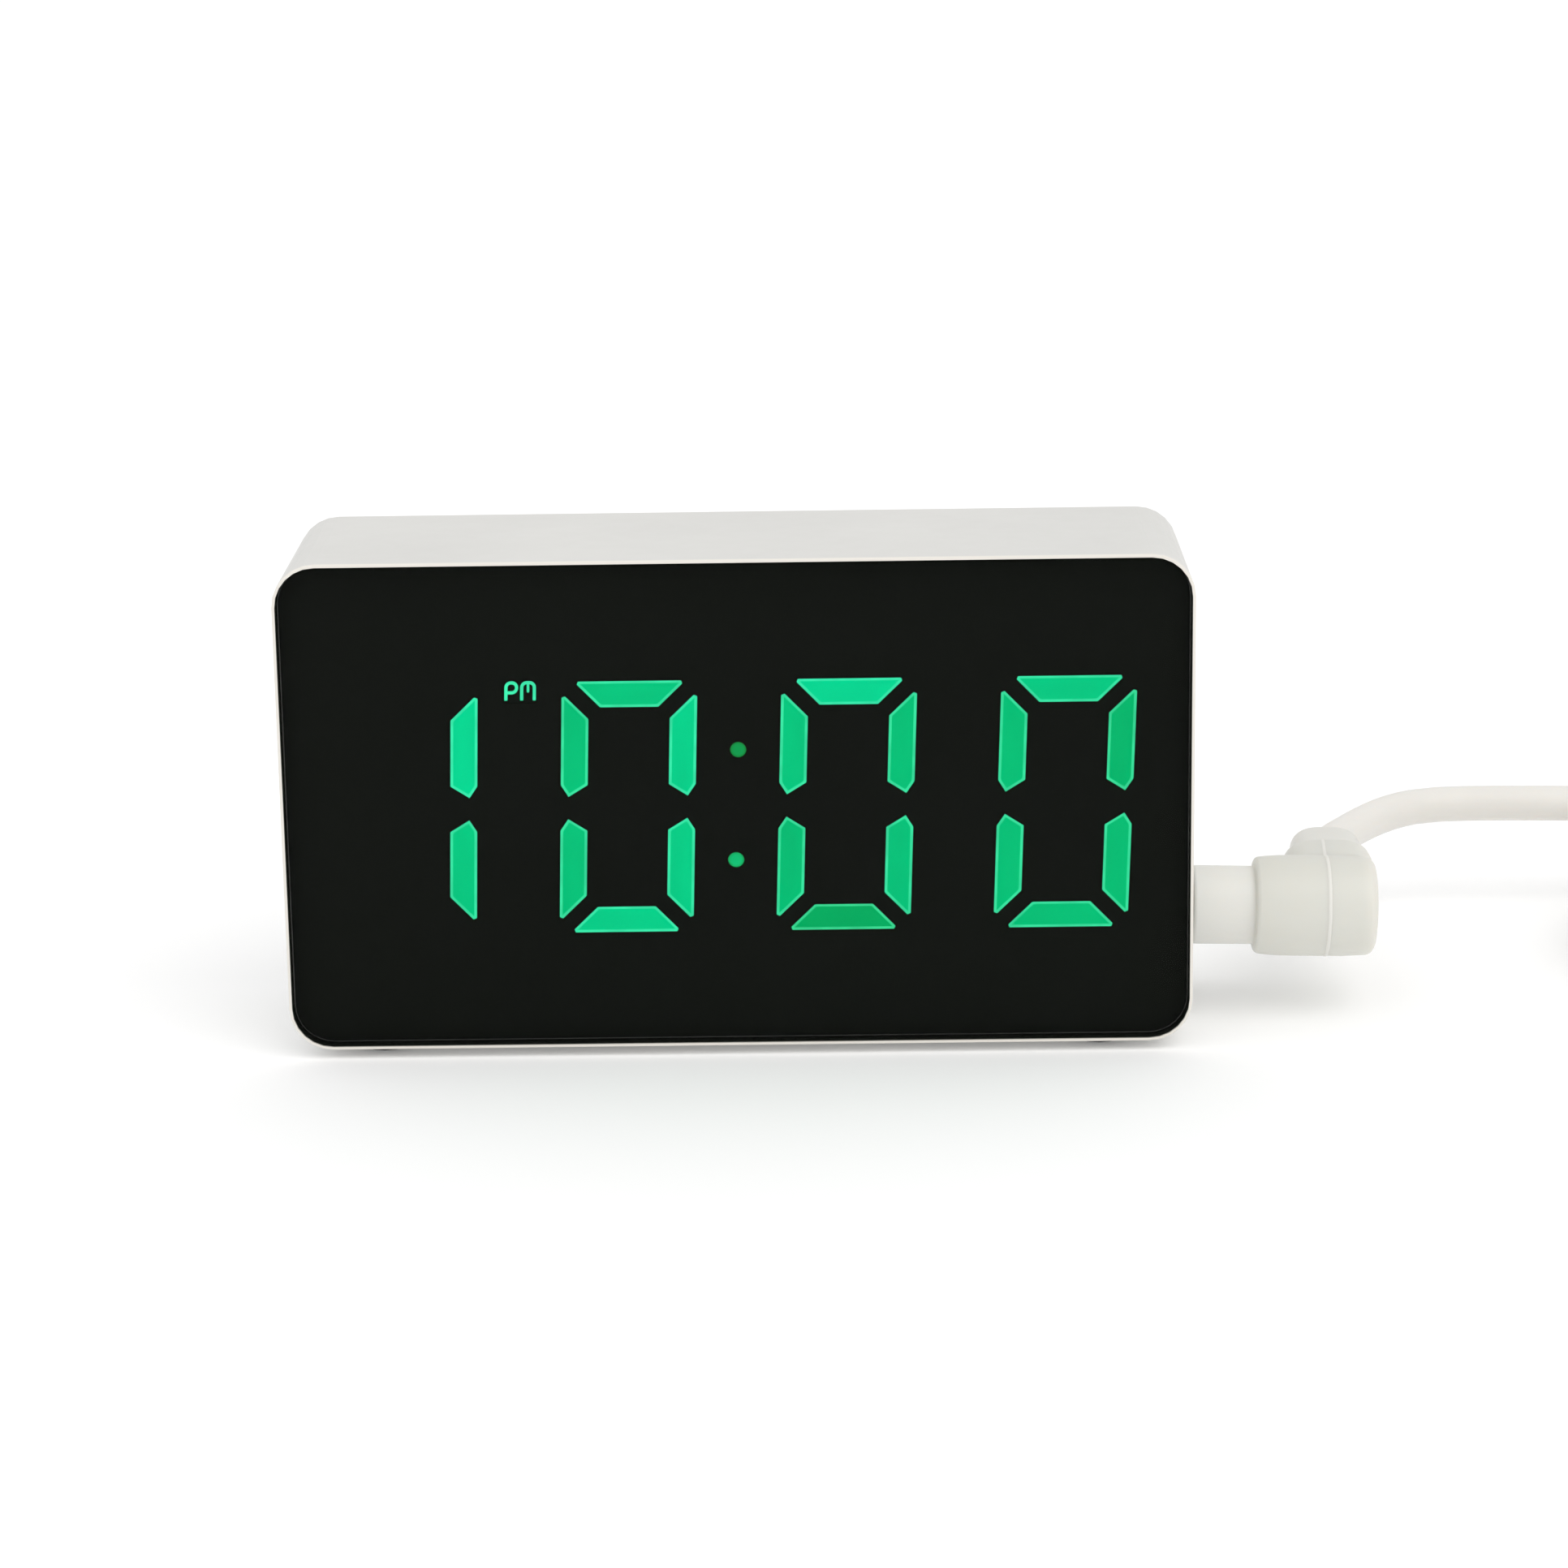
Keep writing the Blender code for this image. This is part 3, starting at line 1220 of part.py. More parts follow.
def make_plug():
    """Right-angle plug: a metal sleeve in a moulded neck, barrel and leg."""
    sleeve_back = NECK_X + PLUG_SOCKET - GAP
    tip_x = SIDE_X - PLUG_SLEEVE_LENGTH
    length = sleeve_back - tip_x
    edge = 0.3 * MM
    profile = [
        (PLUG_SLEEVE_BORE, length),
        (PLUG_SLEEVE_RADIUS, length),
        (PLUG_SLEEVE_RADIUS, edge),
        (PLUG_SLEEVE_RADIUS - edge, 0.0),
        (PLUG_SLEEVE_BORE, 0.0),
    ]
    start = (tip_x, JACK_Y, JACK_Z)
    part(turned("plug_sleeve", profile, start, (1, 0, 0), 20, closed=True), "nickel")

    rounding, neck_edge = BARREL_ROUNDING, 0.3 * MM
    total = NECK_LENGTH + BARREL_LENGTH
    core = BARREL_RADIUS - rounding
    shoulder_at, crown_at = NECK_LENGTH + rounding, total - BARREL_DOME - rounding
    shoulder = [
        (core + rounding * math.sin(turn), shoulder_at - rounding * math.cos(turn))
        for turn in (math.radians(90), math.radians(45), 0.0)
    ]
    crown = [
        (core + rounding * math.cos(turn), crown_at + rounding * math.sin(turn))
        for turn in (math.radians(90), math.radians(60), math.radians(30), 0.0)
    ]
    profile = [
        (0.0, total),
        (BARREL_RADIUS * 0.5, total - BARREL_DOME * 0.25),
        *crown,
        *shoulder,
        (NECK_RADIUS, NECK_LENGTH),
        (NECK_RADIUS, neck_edge),
        (NECK_RADIUS - neck_edge, 0.0),
        (0.0, 0.0),
    ]
    plug = turned("power_plug", profile, (NECK_X, JACK_Y, JACK_Z), (1, 0, 0), 28)
    way = Vector((math.sin(LEG_LEAN), math.cos(LEG_LEAN), 0.0))
    leg_start = Vector((LEG_X, JACK_Y, JACK_Z))
    leg_profile = [
        (0.0, LEG_LENGTH),
        (LEG_END_RADIUS - rounding, LEG_LENGTH),
        (LEG_END_RADIUS - rounding * 0.3, LEG_LENGTH - rounding * 0.3),
        (LEG_END_RADIUS, LEG_LENGTH - rounding),
        (LEG_RADIUS, LEG_SWELL),
        (LEG_INSET, 0.0),
        (0.0, 0.0),
    ]
    add(plug, turned("add_leg", leg_profile, leg_start, way, 24))
    socket_mouth = (NECK_X - 1 * MM, JACK_Y, JACK_Z)
    socket_floor = (NECK_X + PLUG_SOCKET, JACK_Y, JACK_Z)
    cut(plug, rod("cut_plug_socket", socket_mouth, socket_floor, PLUG_SLEEVE_RADIUS + GAP, 20))
    part(plug, "plug_white")

    relief_profile = [
        (0.0, RELIEF_LENGTH),
        (CORD_RADIUS + 0.35 * MM, RELIEF_LENGTH),
        (RELIEF_RADIUS, 0.4 * RELIEF_LENGTH),
        (RELIEF_RADIUS, 0.0),
        (0.0, 0.0),
    ]
    relief_start = leg_start + way * (LEG_LENGTH + GAP)
    part(turned("strain_relief", relief_profile, relief_start, way, 16), "plug_white")


def smooth_line(route, spacing):
    """Points about spacing apart on a smooth curve through the route's points."""
    points = [Vector(place) for place in route]
    padded = [2 * points[0] - points[1], *points, 2 * points[-1] - points[-2]]
    line = [points[0]]
    for index in range(1, len(padded) - 2):
        before, here, there, after = padded[index - 1 : index + 3]
        count = max(1, round((there - here).length / spacing))
        for step in range(1, count + 1):
            t = step / count
            line.append(
                0.5
                * (
                    2 * here
                    + (there - before) * t
                    + (2 * before - 5 * here + 4 * there - after) * t**2
                    + (3 * here - before - 3 * there + after) * t**3
                )
            )
    return line


def cord_tube(name, route):
    curve = bpy.data.curves.new(name, "CURVE")
    curve.dimensions = "3D"
    curve.bevel_depth = CORD_RADIUS
    curve.bevel_resolution = 2
    curve.use_fill_caps = True
    line = smooth_line(route, 5 * CORD_RADIUS)
    spline = curve.splines.new("POLY")
    spline.points.add(len(line) - 1)
    for point, place in zip(spline.points, line):
        point.co = (*place, 1.0)
    part(link_object(name, curve), "cord_white")


def make_coil():
    edge = 1.0 * MM
    top, base = COIL_BASE + COIL_HEIGHT, COIL_BASE
    profile = [
        (COIL_INNER + edge, top),
        (COIL_OUTER - edge, top),
        (COIL_OUTER, top - edge),
        (COIL_OUTER, base + edge),
        (COIL_OUTER - edge, base),
        (COIL_INNER + edge, base),
        (COIL_INNER, base + edge),
        (COIL_INNER, top - edge),
    ]
    place = (COIL_X, COIL_Y, 0.0)
    part(turned("cord_coil", profile, place, (0, 0, 1), 40, closed=True), "cord_white")


def make_tie():
    """Strap around the coil's turns, at the coil's front."""
    middle = (COIL_Y - COIL_RADIUS, COIL_BASE + COIL_HEIGHT / 2)
    width = COIL_OUTER - COIL_INNER + 2 * GAP
    height = COIL_HEIGHT + 2 * GAP
    inner = rounded_rectangle(width, height, 0.6 * MM, middle, 3)
    thick = 2 * TIE_THICKNESS
    outer = rounded_rectangle(width + thick, height + thick, 1.2 * MM, middle, 3)
    start, end = COIL_X - TIE_WIDTH / 2, COIL_X + TIE_WIDTH / 2
    part(extruded("cable_tie", [outer, inner], start, end, "X"), "tie_black")


def make_usb_plug():
    middle_z = USB_HEIGHT / 2
    body_end = USB_REAR_Y - USB_NECK - USB_LENGTH
    body_start = USB_REAR_Y - USB_NECK
    outline = rounded_rectangle(USB_WIDTH, USB_HEIGHT, 1.6 * MM, (USB_X, middle_z), 4)
    body = extruded("usb_plug_body", [outline], body_start, body_end)
    round_edges(body, 0.6 * MM, 2)
    neck_profile = [
        (0.0, USB_NECK),
        (CORD_RADIUS + 0.5 * MM, USB_NECK),
        (CORD_RADIUS + 1.4 * MM, 0.0),
        (CORD_RADIUS + 1.4 * MM, -1.0 * MM),
        (0.0, -1.0 * MM),
    ]
    add(body, turned("add_usb_neck", neck_profile, (USB_X, body_start, middle_z), (0, 1, 0), 16))
    part(body, "plug_white")

    wall = USB_SHELL_WALL
    outer = rounded_rectangle(
        USB_SHELL_WIDTH, USB_SHELL_HEIGHT, 0.6 * MM, (USB_X, middle_z), 3
    )
    inner = rounded_rectangle(
        USB_SHELL_WIDTH - 2 * wall, USB_SHELL_HEIGHT - 2 * wall, 0.3 * MM, (USB_X, middle_z), 2
    )
    shell_start = body_end - GAP
    shell_end = shell_start - USB_SHELL_LENGTH
    part(extruded("usb_plug_shell", [outer, inner], shell_start, shell_end), "nickel")
    half = USB_SHELL_WIDTH / 2 - wall - GAP
    top = middle_z + USB_SHELL_HEIGHT / 2 - wall - GAP
    low = (USB_X - half, shell_end + 0.5 * MM, top - USB_TONGUE_HEIGHT)
    high = (USB_X + half, shell_start, top)
    part(box("usb_tongue", low, high), "cord_white")


def build():
    make_lens()
    make_housing()
    make_feet()
    make_mask()
    make_guides()
    make_display_board()
    make_rear_cover()
    make_door()
    make_case_screws()
    make_cells()
    make_contacts()
    make_main_board()
    make_board_screws()
    make_chip()
    make_crystal()
    make_buzzer()
    make_buttons()
    make_ribbon()
    make_jack()
    make_plug()
    cord_tube("cord_lead", LEAD_ROUTE)
    make_coil()
    cord_tube("cord_tail", TAIL_ROUTE)
    make_tie()
    make_usb_plug()


build()
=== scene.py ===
"""Looks of a small LED mirror alarm clock and its power lead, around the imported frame."""

import math
from fnmatch import filter as matching

import bmesh
import bpy
from mathutils import Matrix, Vector


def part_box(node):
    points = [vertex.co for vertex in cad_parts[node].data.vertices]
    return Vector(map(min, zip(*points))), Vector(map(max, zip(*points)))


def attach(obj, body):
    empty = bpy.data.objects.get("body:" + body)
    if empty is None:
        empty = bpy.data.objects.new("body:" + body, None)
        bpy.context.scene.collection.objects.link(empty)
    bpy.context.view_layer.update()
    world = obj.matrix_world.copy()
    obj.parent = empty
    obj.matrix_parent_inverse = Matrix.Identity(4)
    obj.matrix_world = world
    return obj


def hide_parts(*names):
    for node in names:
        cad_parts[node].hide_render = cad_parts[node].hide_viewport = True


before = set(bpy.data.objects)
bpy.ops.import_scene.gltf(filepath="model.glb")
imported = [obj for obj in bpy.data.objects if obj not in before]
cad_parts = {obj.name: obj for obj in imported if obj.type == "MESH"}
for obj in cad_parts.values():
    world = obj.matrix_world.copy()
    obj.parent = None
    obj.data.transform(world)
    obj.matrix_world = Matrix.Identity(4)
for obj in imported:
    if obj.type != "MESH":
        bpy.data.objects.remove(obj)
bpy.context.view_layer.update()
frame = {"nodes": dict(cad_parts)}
NODES = frame["nodes"]
MM = 0.001
scene = bpy.context.scene

# ---- sizes, as the part has them

LENS_LOW, LENS_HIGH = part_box("front_lens")
FRONT_Y = LENS_LOW.y
MIDDLE_Z = (LENS_LOW.z + LENS_HIGH.z) / 2
PANEL_RADIUS = 4.0 * MM

DIGIT_WIDTH = 13.75 * MM
DIGIT_HEIGHT = 26.5 * MM
DIGIT_PITCH = 22.25 * MM
DIGIT_SLANT = math.radians(2.0)
DISPLAY_Z = MIDDLE_Z - 0.45 * MM
SEGMENT_THICKNESS = 2.75 * MM
SEGMENT_SPLIT = 1.65 * MM
SEGMENT_BLUNT = 0.5 * MM
WAIST_TIP = 1.15 * MM
WAIST_TIP_INSET = 0.8 * MM
WAIST_SHOULDER = 2.38 * MM
PRINT_GAP = 0.04 * MM
PRINT_THICKNESS = 0.1 * MM
WEB_THICKNESS = 0.8 * MM
STENCIL_FRONT = LENS_HIGH.y + PRINT_GAP
STENCIL_BACK = STENCIL_FRONT + PRINT_THICKNESS
GUIDE_FRONT = STENCIL_BACK + PRINT_GAP
WEB_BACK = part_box("hour_tens_guide")[1].y
WEB_FRONT = WEB_BACK - WEB_THICKNESS
COLON_RADIUS = 0.82 * MM
COLON_SPACING = 11.6 * MM
COLON_LIFT = 0.12 * MM

# The lead: its exit, its way to the coil, the coil and the way to its USB plug
CORD_DIAMETER = 4.0 * MM
LEAD_EXIT = (0.0632, 0.0204, 0.0115)
LEAD_ROUTE = [
    LEAD_EXIT,
    (0.0636, 0.0228, 0.0115),
    (0.0650, 0.0257, 0.0115),
    (0.0674, 0.0299, 0.0115),
    (0.0699, 0.0338, 0.0115),
    (0.0725, 0.0370, 0.0115),
    (0.0754, 0.0393, 0.0115),
    (0.0783, 0.0403, 0.0115),
    (0.0813, 0.0406, 0.0115),
    (0.0870, 0.0405, 0.0115),
    (0.0936, 0.0403, 0.01145),
    (0.1000, 0.0403, 0.0113),
    (0.1048, 0.0404, 0.0111),
]
TAIL_ROUTE = [
    (0.1352, 0.0405, 0.0069),
    (0.1413, 0.0395, 0.0064),
    (0.1468, 0.0366, 0.0057),
    (0.1512, 0.0321, 0.0049),
    (0.1541, 0.0266, 0.0042),
    (0.1549, 0.0232, 0.0040),
    (0.1550, 0.0204, 0.0040),
]
COIL_LOW, COIL_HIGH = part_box("cord_coil")
COIL_X = (COIL_LOW.x + COIL_HIGH.x) / 2
COIL_Y = (COIL_LOW.y + COIL_HIGH.y) / 2
OUTER_TURN = (COIL_HIGH.x - COIL_LOW.x) / 2 - CORD_DIAMETER / 2
INNER_TURN = OUTER_TURN - CORD_DIAMETER
LAYERS = [COIL_LOW.z + CORD_DIAMETER * (layer + 0.5) for layer in range(3)]
COIL_STEPS = 48
LEAD_SPACING, JOIN_SPACING, TAIL_SPACING = 2.2 * MM, 3 * MM, 2.4 * MM


# ---- camera

CAMERA_RIGHT = (0.999847, 0.008970, -0.014992)
CAMERA_DOWN = (-0.012222, -0.254059, -0.967111)
# From the middle of the panel's front
CAMERA_PLACE = Vector((10.474, -437.444, 117.110)) * MM
CAMERA_LENS = 102.484
CAMERA_SENSOR = 36.0


def make_camera():
    """Camera a little above and to the right of the clock, at the photograph's angle."""
    right = Vector(CAMERA_RIGHT).normalized()
    down = Vector(CAMERA_DOWN)
    forward = right.cross(down).normalized()
    down = forward.cross(right)
    place = CAMERA_PLACE + Vector((0, FRONT_Y, MIDDLE_Z))
    data = bpy.data.cameras.new("camera")
    data.sensor_width = CAMERA_SENSOR
    data.lens = CAMERA_LENS
    data.clip_start, data.clip_end = 0.02, 60.0
    camera = bpy.data.objects.new("camera", data)
    turn = Matrix((right, -down, -forward)).transposed()
    camera.matrix_world = Matrix.Translation(place) @ turn.to_4x4()
    scene.collection.objects.link(camera)
    scene.camera = camera


make_camera()
scene.view_settings.view_transform = "Standard"

# ---- materials

MOTTLE_SCALE = 38
GLOSS_SCALE = 420
GRAIN_SCALE = 4500
FINE_GRAIN = 0.00001
COARSE_GRAIN = 0.00002
GRAIN_STRENGTH = 0.7

# Short names for the Principled shader's inputs
SOCKETS = {
    "color": "Base Color",
    "rough": "Roughness",
    "metal": "Metallic",
    "specular": "Specular IOR Level",
    "coat": "Coat Weight",
    "coat_rough": "Coat Roughness",
    "subsurface": "Subsurface Weight",
    "subsurface_scale": "Subsurface Scale",
    "sheen": "Sheen Weight",
    "alpha": "Alpha",
    "glow": "Emission Color",
    "strength": "Emission Strength",
}


class Graph:
    """A material's node tree around one Principled shader."""

    def __init__(self, name):
        self.material = bpy.data.materials.new(name)
        self.material.use_nodes = True
        self.tree = self.material.node_tree
        self.shader = self.tree.nodes["Principled BSDF"]
        self.join = self.tree.links.new
        self.place = self.tree.nodes.new("ShaderNodeTexCoord").outputs["Object"]

    def set(self, **values):
        """Plain values on the shader's inputs."""
        for key, value in values.items():
            self.shader.inputs[SOCKETS[key]].default_value = value

    def link(self, output, socket):
        self.join(output, self.shader.inputs[socket])

    def node(self, kind, **settings):
        made = self.tree.nodes.new(kind)
        for key, value in settings.items():
            setattr(made, key, value)
        return made

    def stretched(self, scale):
        """Object coordinates, stretched along the axes."""
        mapping = self.node("ShaderNodeMapping")
        mapping.inputs["Scale"].default_value = scale
        self.join(self.place, mapping.inputs["Vector"])
        return mapping.outputs["Vector"]

    def noise(self, scale, detail=3.0, stretch=None, rough=0.55):
        made = self.node("ShaderNodeTexNoise")
        made.inputs["Scale"].default_value = scale
        made.inputs["Detail"].default_value = detail
        made.inputs["Roughness"].default_value = rough
        source = self.place if stretch is None else self.stretched(stretch)
        self.join(source, made.inputs["Vector"])
        return made.outputs["Fac"]

    def ramp(self, source, low, high, start=0.35, end=0.65):
        """Colour or grey between two values as the source rises."""
        made = self.node("ShaderNodeValToRGB")
        elements = made.color_ramp.elements
        elements[0].position, elements[1].position = start, end
        for element, value in zip(elements, (low, high)):
            colour = value if hasattr(value, "__len__") else (value,) * 3
            element.color = (*colour[:3], 1.0)
        self.join(source, made.inputs["Fac"])
        return made.outputs["Color"]

    def bump(self, source, distance, strength=1.0):
        made = self.node("ShaderNodeBump")
        made.inputs["Distance"].default_value = distance
        made.inputs["Strength"].default_value = strength
        self.join(source, made.inputs["Height"])
        self.join(made.outputs["Normal"], self.shader.inputs["Normal"])

    def toward(self, factor, source, colour):
        """From a source's colour to another one as the factor rises."""
        made = self.node("ShaderNodeMix", data_type="RGBA")
        # The node has a set of sockets for each kind of data; these are the ones for colours
        first, second, result = made.inputs[6], made.inputs[7], made.outputs[2]
        self.join(factor, made.inputs["Factor"])
        self.join(source, first)
        second.default_value = (*colour, 1)
        return result

    def axis(self, letter, low, high):
        """0 to 1 between two places along an axis."""
        split = self.node("ShaderNodeSeparateXYZ")
        self.join(self.place, split.inputs["Vector"])
        made = self.node("ShaderNodeMapRange")
        made.inputs["From Min"].default_value = low
        made.inputs["From Max"].default_value = high
        self.join(split.outputs[letter], made.inputs["Value"])
        return made.outputs["Result"]


def shade(colour, factor):
    """The colour, lighter or darker by a factor."""
    return tuple(channel * factor for channel in colour)


def moulded(name, colour, rough, grain=FINE_GRAIN, scale=GRAIN_SCALE, vary=0.035, **extra):
    """Moulded plastic or rubber: fine spark-eroded grain, slight mottling and gloss change."""
    graph = Graph(name)
    graph.set(color=(*colour, 1), rough=rough, **extra)
    broad = graph.noise(MOTTLE_SCALE, 2.0)
    graph.link(graph.ramp(broad, shade(colour, 1 - vary), shade(colour, 1 + vary)), "Base Color")
    gloss = graph.noise(GLOSS_SCALE, 3.0)
    graph.link(graph.ramp(gloss, rough * 0.92, rough * 1.08), "Roughness")
    graph.bump(graph.noise(scale, 2.0), grain, GRAIN_STRENGTH)
    return graph.material


def metal(name, colour, rough, stretch=(1, 1, 1), scale=2500):
    """Plated metal with fine drawn or rolled marks."""
    graph = Graph(name)
    graph.set(color=(*colour, 1), rough=rough, metal=1.0)
    marks = graph.noise(scale, 4.0, stretch)
    graph.link(graph.ramp(marks, shade(colour, 0.94), shade(colour, 1.03)), "Base Color")
    graph.link(graph.ramp(marks, rough * 0.85, rough * 1.2), "Roughness")
    graph.bump(marks, 0.0000012, 0.5)
    return graph.material


def glow(name, colour, strength, vary=0.05, stretch=(1, 1, 1)):
    """Lit light guide: even, with faint bands where the diode's light spreads."""
    graph = Graph(name)
    graph.set(color=(0.001, 0.004, 0.003, 1), rough=0.6, strength=strength, specular=0.0)
    bands = graph.noise(420, 2.0, stretch)
    low, high = shade(colour, 1 - vary), shade(colour, 1 + vary)
    graph.link(graph.ramp(bands, low, high), "Emission Color")
    return graph.material


WHITE = (0.69, 0.685, 0.66)
# The lip round the panel is painted lighter and creamier than the white: a painted highlight
LIP_HIGHLIGHT = (0.80, 0.765, 0.705)
LIP_START, LIP_END = 0.25 * MM, 0.55 * MM


def case_plastic():
    """The casing's satin white; its lip round the panel is painted a lighter cream, a painted
    highlight.
    """
    graph = Graph("case_white")
    graph.set(color=(*WHITE, 1), specular=0.4)
    broad = graph.noise(MOTTLE_SCALE, 2.0)
    mottle = graph.ramp(broad, shade(WHITE, 0.975), shade(WHITE, 1.025))
    # Painted highlight: towards the front, the colour goes over to the lighter cream
    lip_highlight = graph.axis("Y", FRONT_Y + LIP_END, FRONT_Y + LIP_START)
    graph.link(graph.toward(lip_highlight, mottle, LIP_HIGHLIGHT), "Base Color")
    graph.link(graph.ramp(graph.noise(GLOSS_SCALE, 3.0), 0.39, 0.46), "Roughness")
    graph.bump(graph.noise(GRAIN_SCALE, 2.0), FINE_GRAIN, GRAIN_STRENGTH)
    return graph.material


SHELL = moulded("satin_white", WHITE, 0.42, specular=0.4)
CASE = case_plastic()
KEYS = moulded("key_white", (0.64, 0.64, 0.63), 0.34, scale=6500, specular=0.45)
BLACK = (0.0215, 0.0250, 0.0200)
BLACK_MASK = moulded("mask_black", BLACK, 0.8, specular=0.02)
STENCIL = moulded("stencil_black", BLACK, 0.8, grain=0.000001, scale=900, specular=0.02)
RUBBER = moulded("foot_rubber", (0.12, 0.12, 0.12), 0.8, grain=COARSE_GRAIN, scale=2600)
BLACK_PLASTIC = moulded("black_plastic", (0.018, 0.018, 0.02), 0.5)
BOARD_GREEN = (0.012, 0.11, 0.045)
BOARD = moulded("solder_mask", BOARD_GREEN, 0.4, grain=COARSE_GRAIN, scale=900, vary=0.12)
RIBBON = moulded("ribbon_grey", (0.40, 0.41, 0.43), 0.5, scale=1400)
STEEL = metal("screw_steel", (0.60, 0.60, 0.58), 0.3)
NICKEL = metal("nickel", (0.72, 0.70, 0.66), 0.22, (0.2, 1, 1))


def glass_black():
    """Dark tinted panel: it lets the numerals through and hides what is behind when unlit."""
    graph = Graph("mirror_black")
    graph.set(color=(0.001, 0.0012, 0.001, 1), specular=0.0, alpha=0.3)
    graph.set(coat=0.12, coat_rough=0.06)
    smears = graph.noise(28, 3.0, (1, 1, 0.6))
    graph.link(graph.ramp(smears, 0.05, 0.075), "Roughness")
    return graph.material


def soft_pvc(name, colour, rough, changes=()):
    """Soft translucent PVC, whose colour may change along X to paint light and shade."""
    graph = Graph(name)
    graph.set(color=(*colour, 1), rough=rough, specular=0.35)
    graph.set(subsurface=0.35, subsurface_scale=0.0022)
    graph.shader.inputs["Subsurface Radius"].default_value = (1.0, 0.85, 0.7)
    base = graph.ramp(graph.noise(70, 2.0), shade(colour, 0.975), shade(colour, 1.015))
    # Painted light and shade: the colour changes along X
    for target, low, high in changes:
        base = graph.toward(graph.axis("X", low, high), base, target)
    graph.link(base, "Base Color")
    graph.bump(graph.noise(1500, 3.0), COARSE_GRAIN, 0.5)
    return graph.material


# The neck is painted lighter than the barrel: painted light against the shade the clock casts on
# it
NECK_PAINTED_LIGHT = (0.79, 0.785, 0.745)
BARREL_WHITE = (0.69, 0.688, 0.635)
END_PAINTED_HIGHLIGHT = (0.76, 0.74, 0.68)
# The plug's later colours, and where along X each starts and is full: the barrel darker than the
# neck, then the end painted lighter, a painted highlight
PLUG_CHANGES = ((BARREL_WHITE, 0.0533, 0.0541), (END_PAINTED_HIGHLIGHT, 0.0648, 0.0668))
PLUG = soft_pvc("soft_white_pvc", NECK_PAINTED_LIGHT, 0.4, PLUG_CHANGES)
USB_PVC = soft_pvc("usb_white_pvc", (0.80, 0.79, 0.76), 0.4)
JACKET = soft_pvc("cord_jacket", (0.785, 0.768, 0.73), 0.42)
BOOT = soft_pvc("boot_pvc", (0.725, 0.718, 0.675), 0.42)
# The parting ridges are painted lighter than the plug: a painted highlight along them
RIDGE_HIGHLIGHT = moulded("parting_ridge", (0.76, 0.75, 0.705), 0.4)
LENS = glass_black()
GOLD = metal("contact_gold", (0.83, 0.62, 0.28), 0.25, (0.2, 1, 1))


def webbing():
    """Black woven strap: crossed ribs of yarn with a little fuzz."""
    graph = Graph("woven_strap")
    graph.set(color=(0.022, 0.022, 0.024, 1), rough=0.85, specular=0.2, sheen=0.3)
    wave = graph.node("ShaderNodeTexWave", bands_direction="DIAGONAL")
    wave.inputs["Scale"].default_value = 900
    wave.inputs["Distortion"].default_value = 1.5
    graph.join(graph.place, wave.inputs["Vector"])
    yarn = wave.outputs["Fac"]
    tone = graph.ramp(yarn, (0.012, 0.012, 0.013), (0.035, 0.035, 0.038), 0.2, 0.8)
    graph.link(tone, "Base Color")
    graph.bump(yarn, 0.00006, 0.8)
    return graph.material


WEBBING = webbing()
INK = moulded("icon_grey", (0.20, 0.20, 0.205), 0.55)
CELL_STEEL = (0.55, 0.55, 0.53)
CELL_SLEEVE = (0.02, 0.02, 0.024)
CELL_BAND = (0.62, 0.30, 0.05)
CELL_TOP = (0.6, 0.6, 0.58)


def wrap_material(name, low, high):
    """Cell wrapper: a coloured band at the plus end of a dark sleeve, steel at both ends."""
    graph = Graph(name)
    graph.set(rough=0.32, color=(0.03, 0.03, 0.035, 1))
    step = graph.axis("X", low, high)
    made = graph.node("ShaderNodeValToRGB")
    ramp = made.color_ramp
    ramp.interpolation = "CONSTANT"
    ramp.elements[0].color = (*CELL_STEEL, 1)
    ramp.elements[1].position, ramp.elements[1].color = 0.012, (*CELL_SLEEVE, 1)
    for position, colour in ((0.70, CELL_BAND), (0.965, CELL_TOP)):
        element = ramp.elements.new(position)
        element.color = (*colour, 1)
    graph.join(step, made.inputs["Fac"])
    graph.link(made.outputs["Color"], "Base Color")
    graph.bump(graph.noise(900, 2.0, (0.2, 1, 1)), FINE_GRAIN, 0.4)
    return graph.material


# What each of the frame's nodes is made of
FRAME_LOOKS = (
    ("housing", CASE),
    ("rear_cover battery_door", SHELL),
    ("front_lens", LENS),
    ("display_mask", BLACK_MASK),
    ("*_button", KEYS),
    ("foot_* *_plunger", RUBBER),
    ("*_switch controller_chip buzzer dc_jack", BLACK_PLASTIC),
    ("display_board main_board", BOARD),
    ("ribbon_cable", RIBBON),
    ("*_screw_*", STEEL),
    ("contact_* clock_crystal dc_jack_pin plug_sleeve", NICKEL),
    ("usb_tongue", USB_PVC),
)

for patterns, material in FRAME_LOOKS:
    for pattern in patterns.split():
        for node_name in matching(NODES, pattern):
            NODES[node_name].data.materials.clear()
            NODES[node_name].data.materials.append(material)

# ---- mesh helpers


def to_mesh(work, name):
    bmesh.ops.recalc_face_normals(work, faces=work.faces)
    mesh = bpy.data.meshes.new(name)
    work.to_mesh(mesh)
    work.free()
    return mesh


def finish_piece(name, mesh, body, material, smooth=35):
    """Places a mesh, or what a bmesh holds, as a piece that rides a body."""
    if isinstance(mesh, bmesh.types.BMesh):
        mesh = to_mesh(mesh, name)
    piece = bpy.data.objects.new(name, mesh)
    scene.collection.objects.link(piece)
    for entry in material if isinstance(material, (list, tuple)) else [material]:
        mesh.materials.append(entry)
    if smooth:
        mesh.shade_smooth()
        mesh.set_sharp_from_angle(angle=math.radians(smooth))
    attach(piece, body)
    return piece


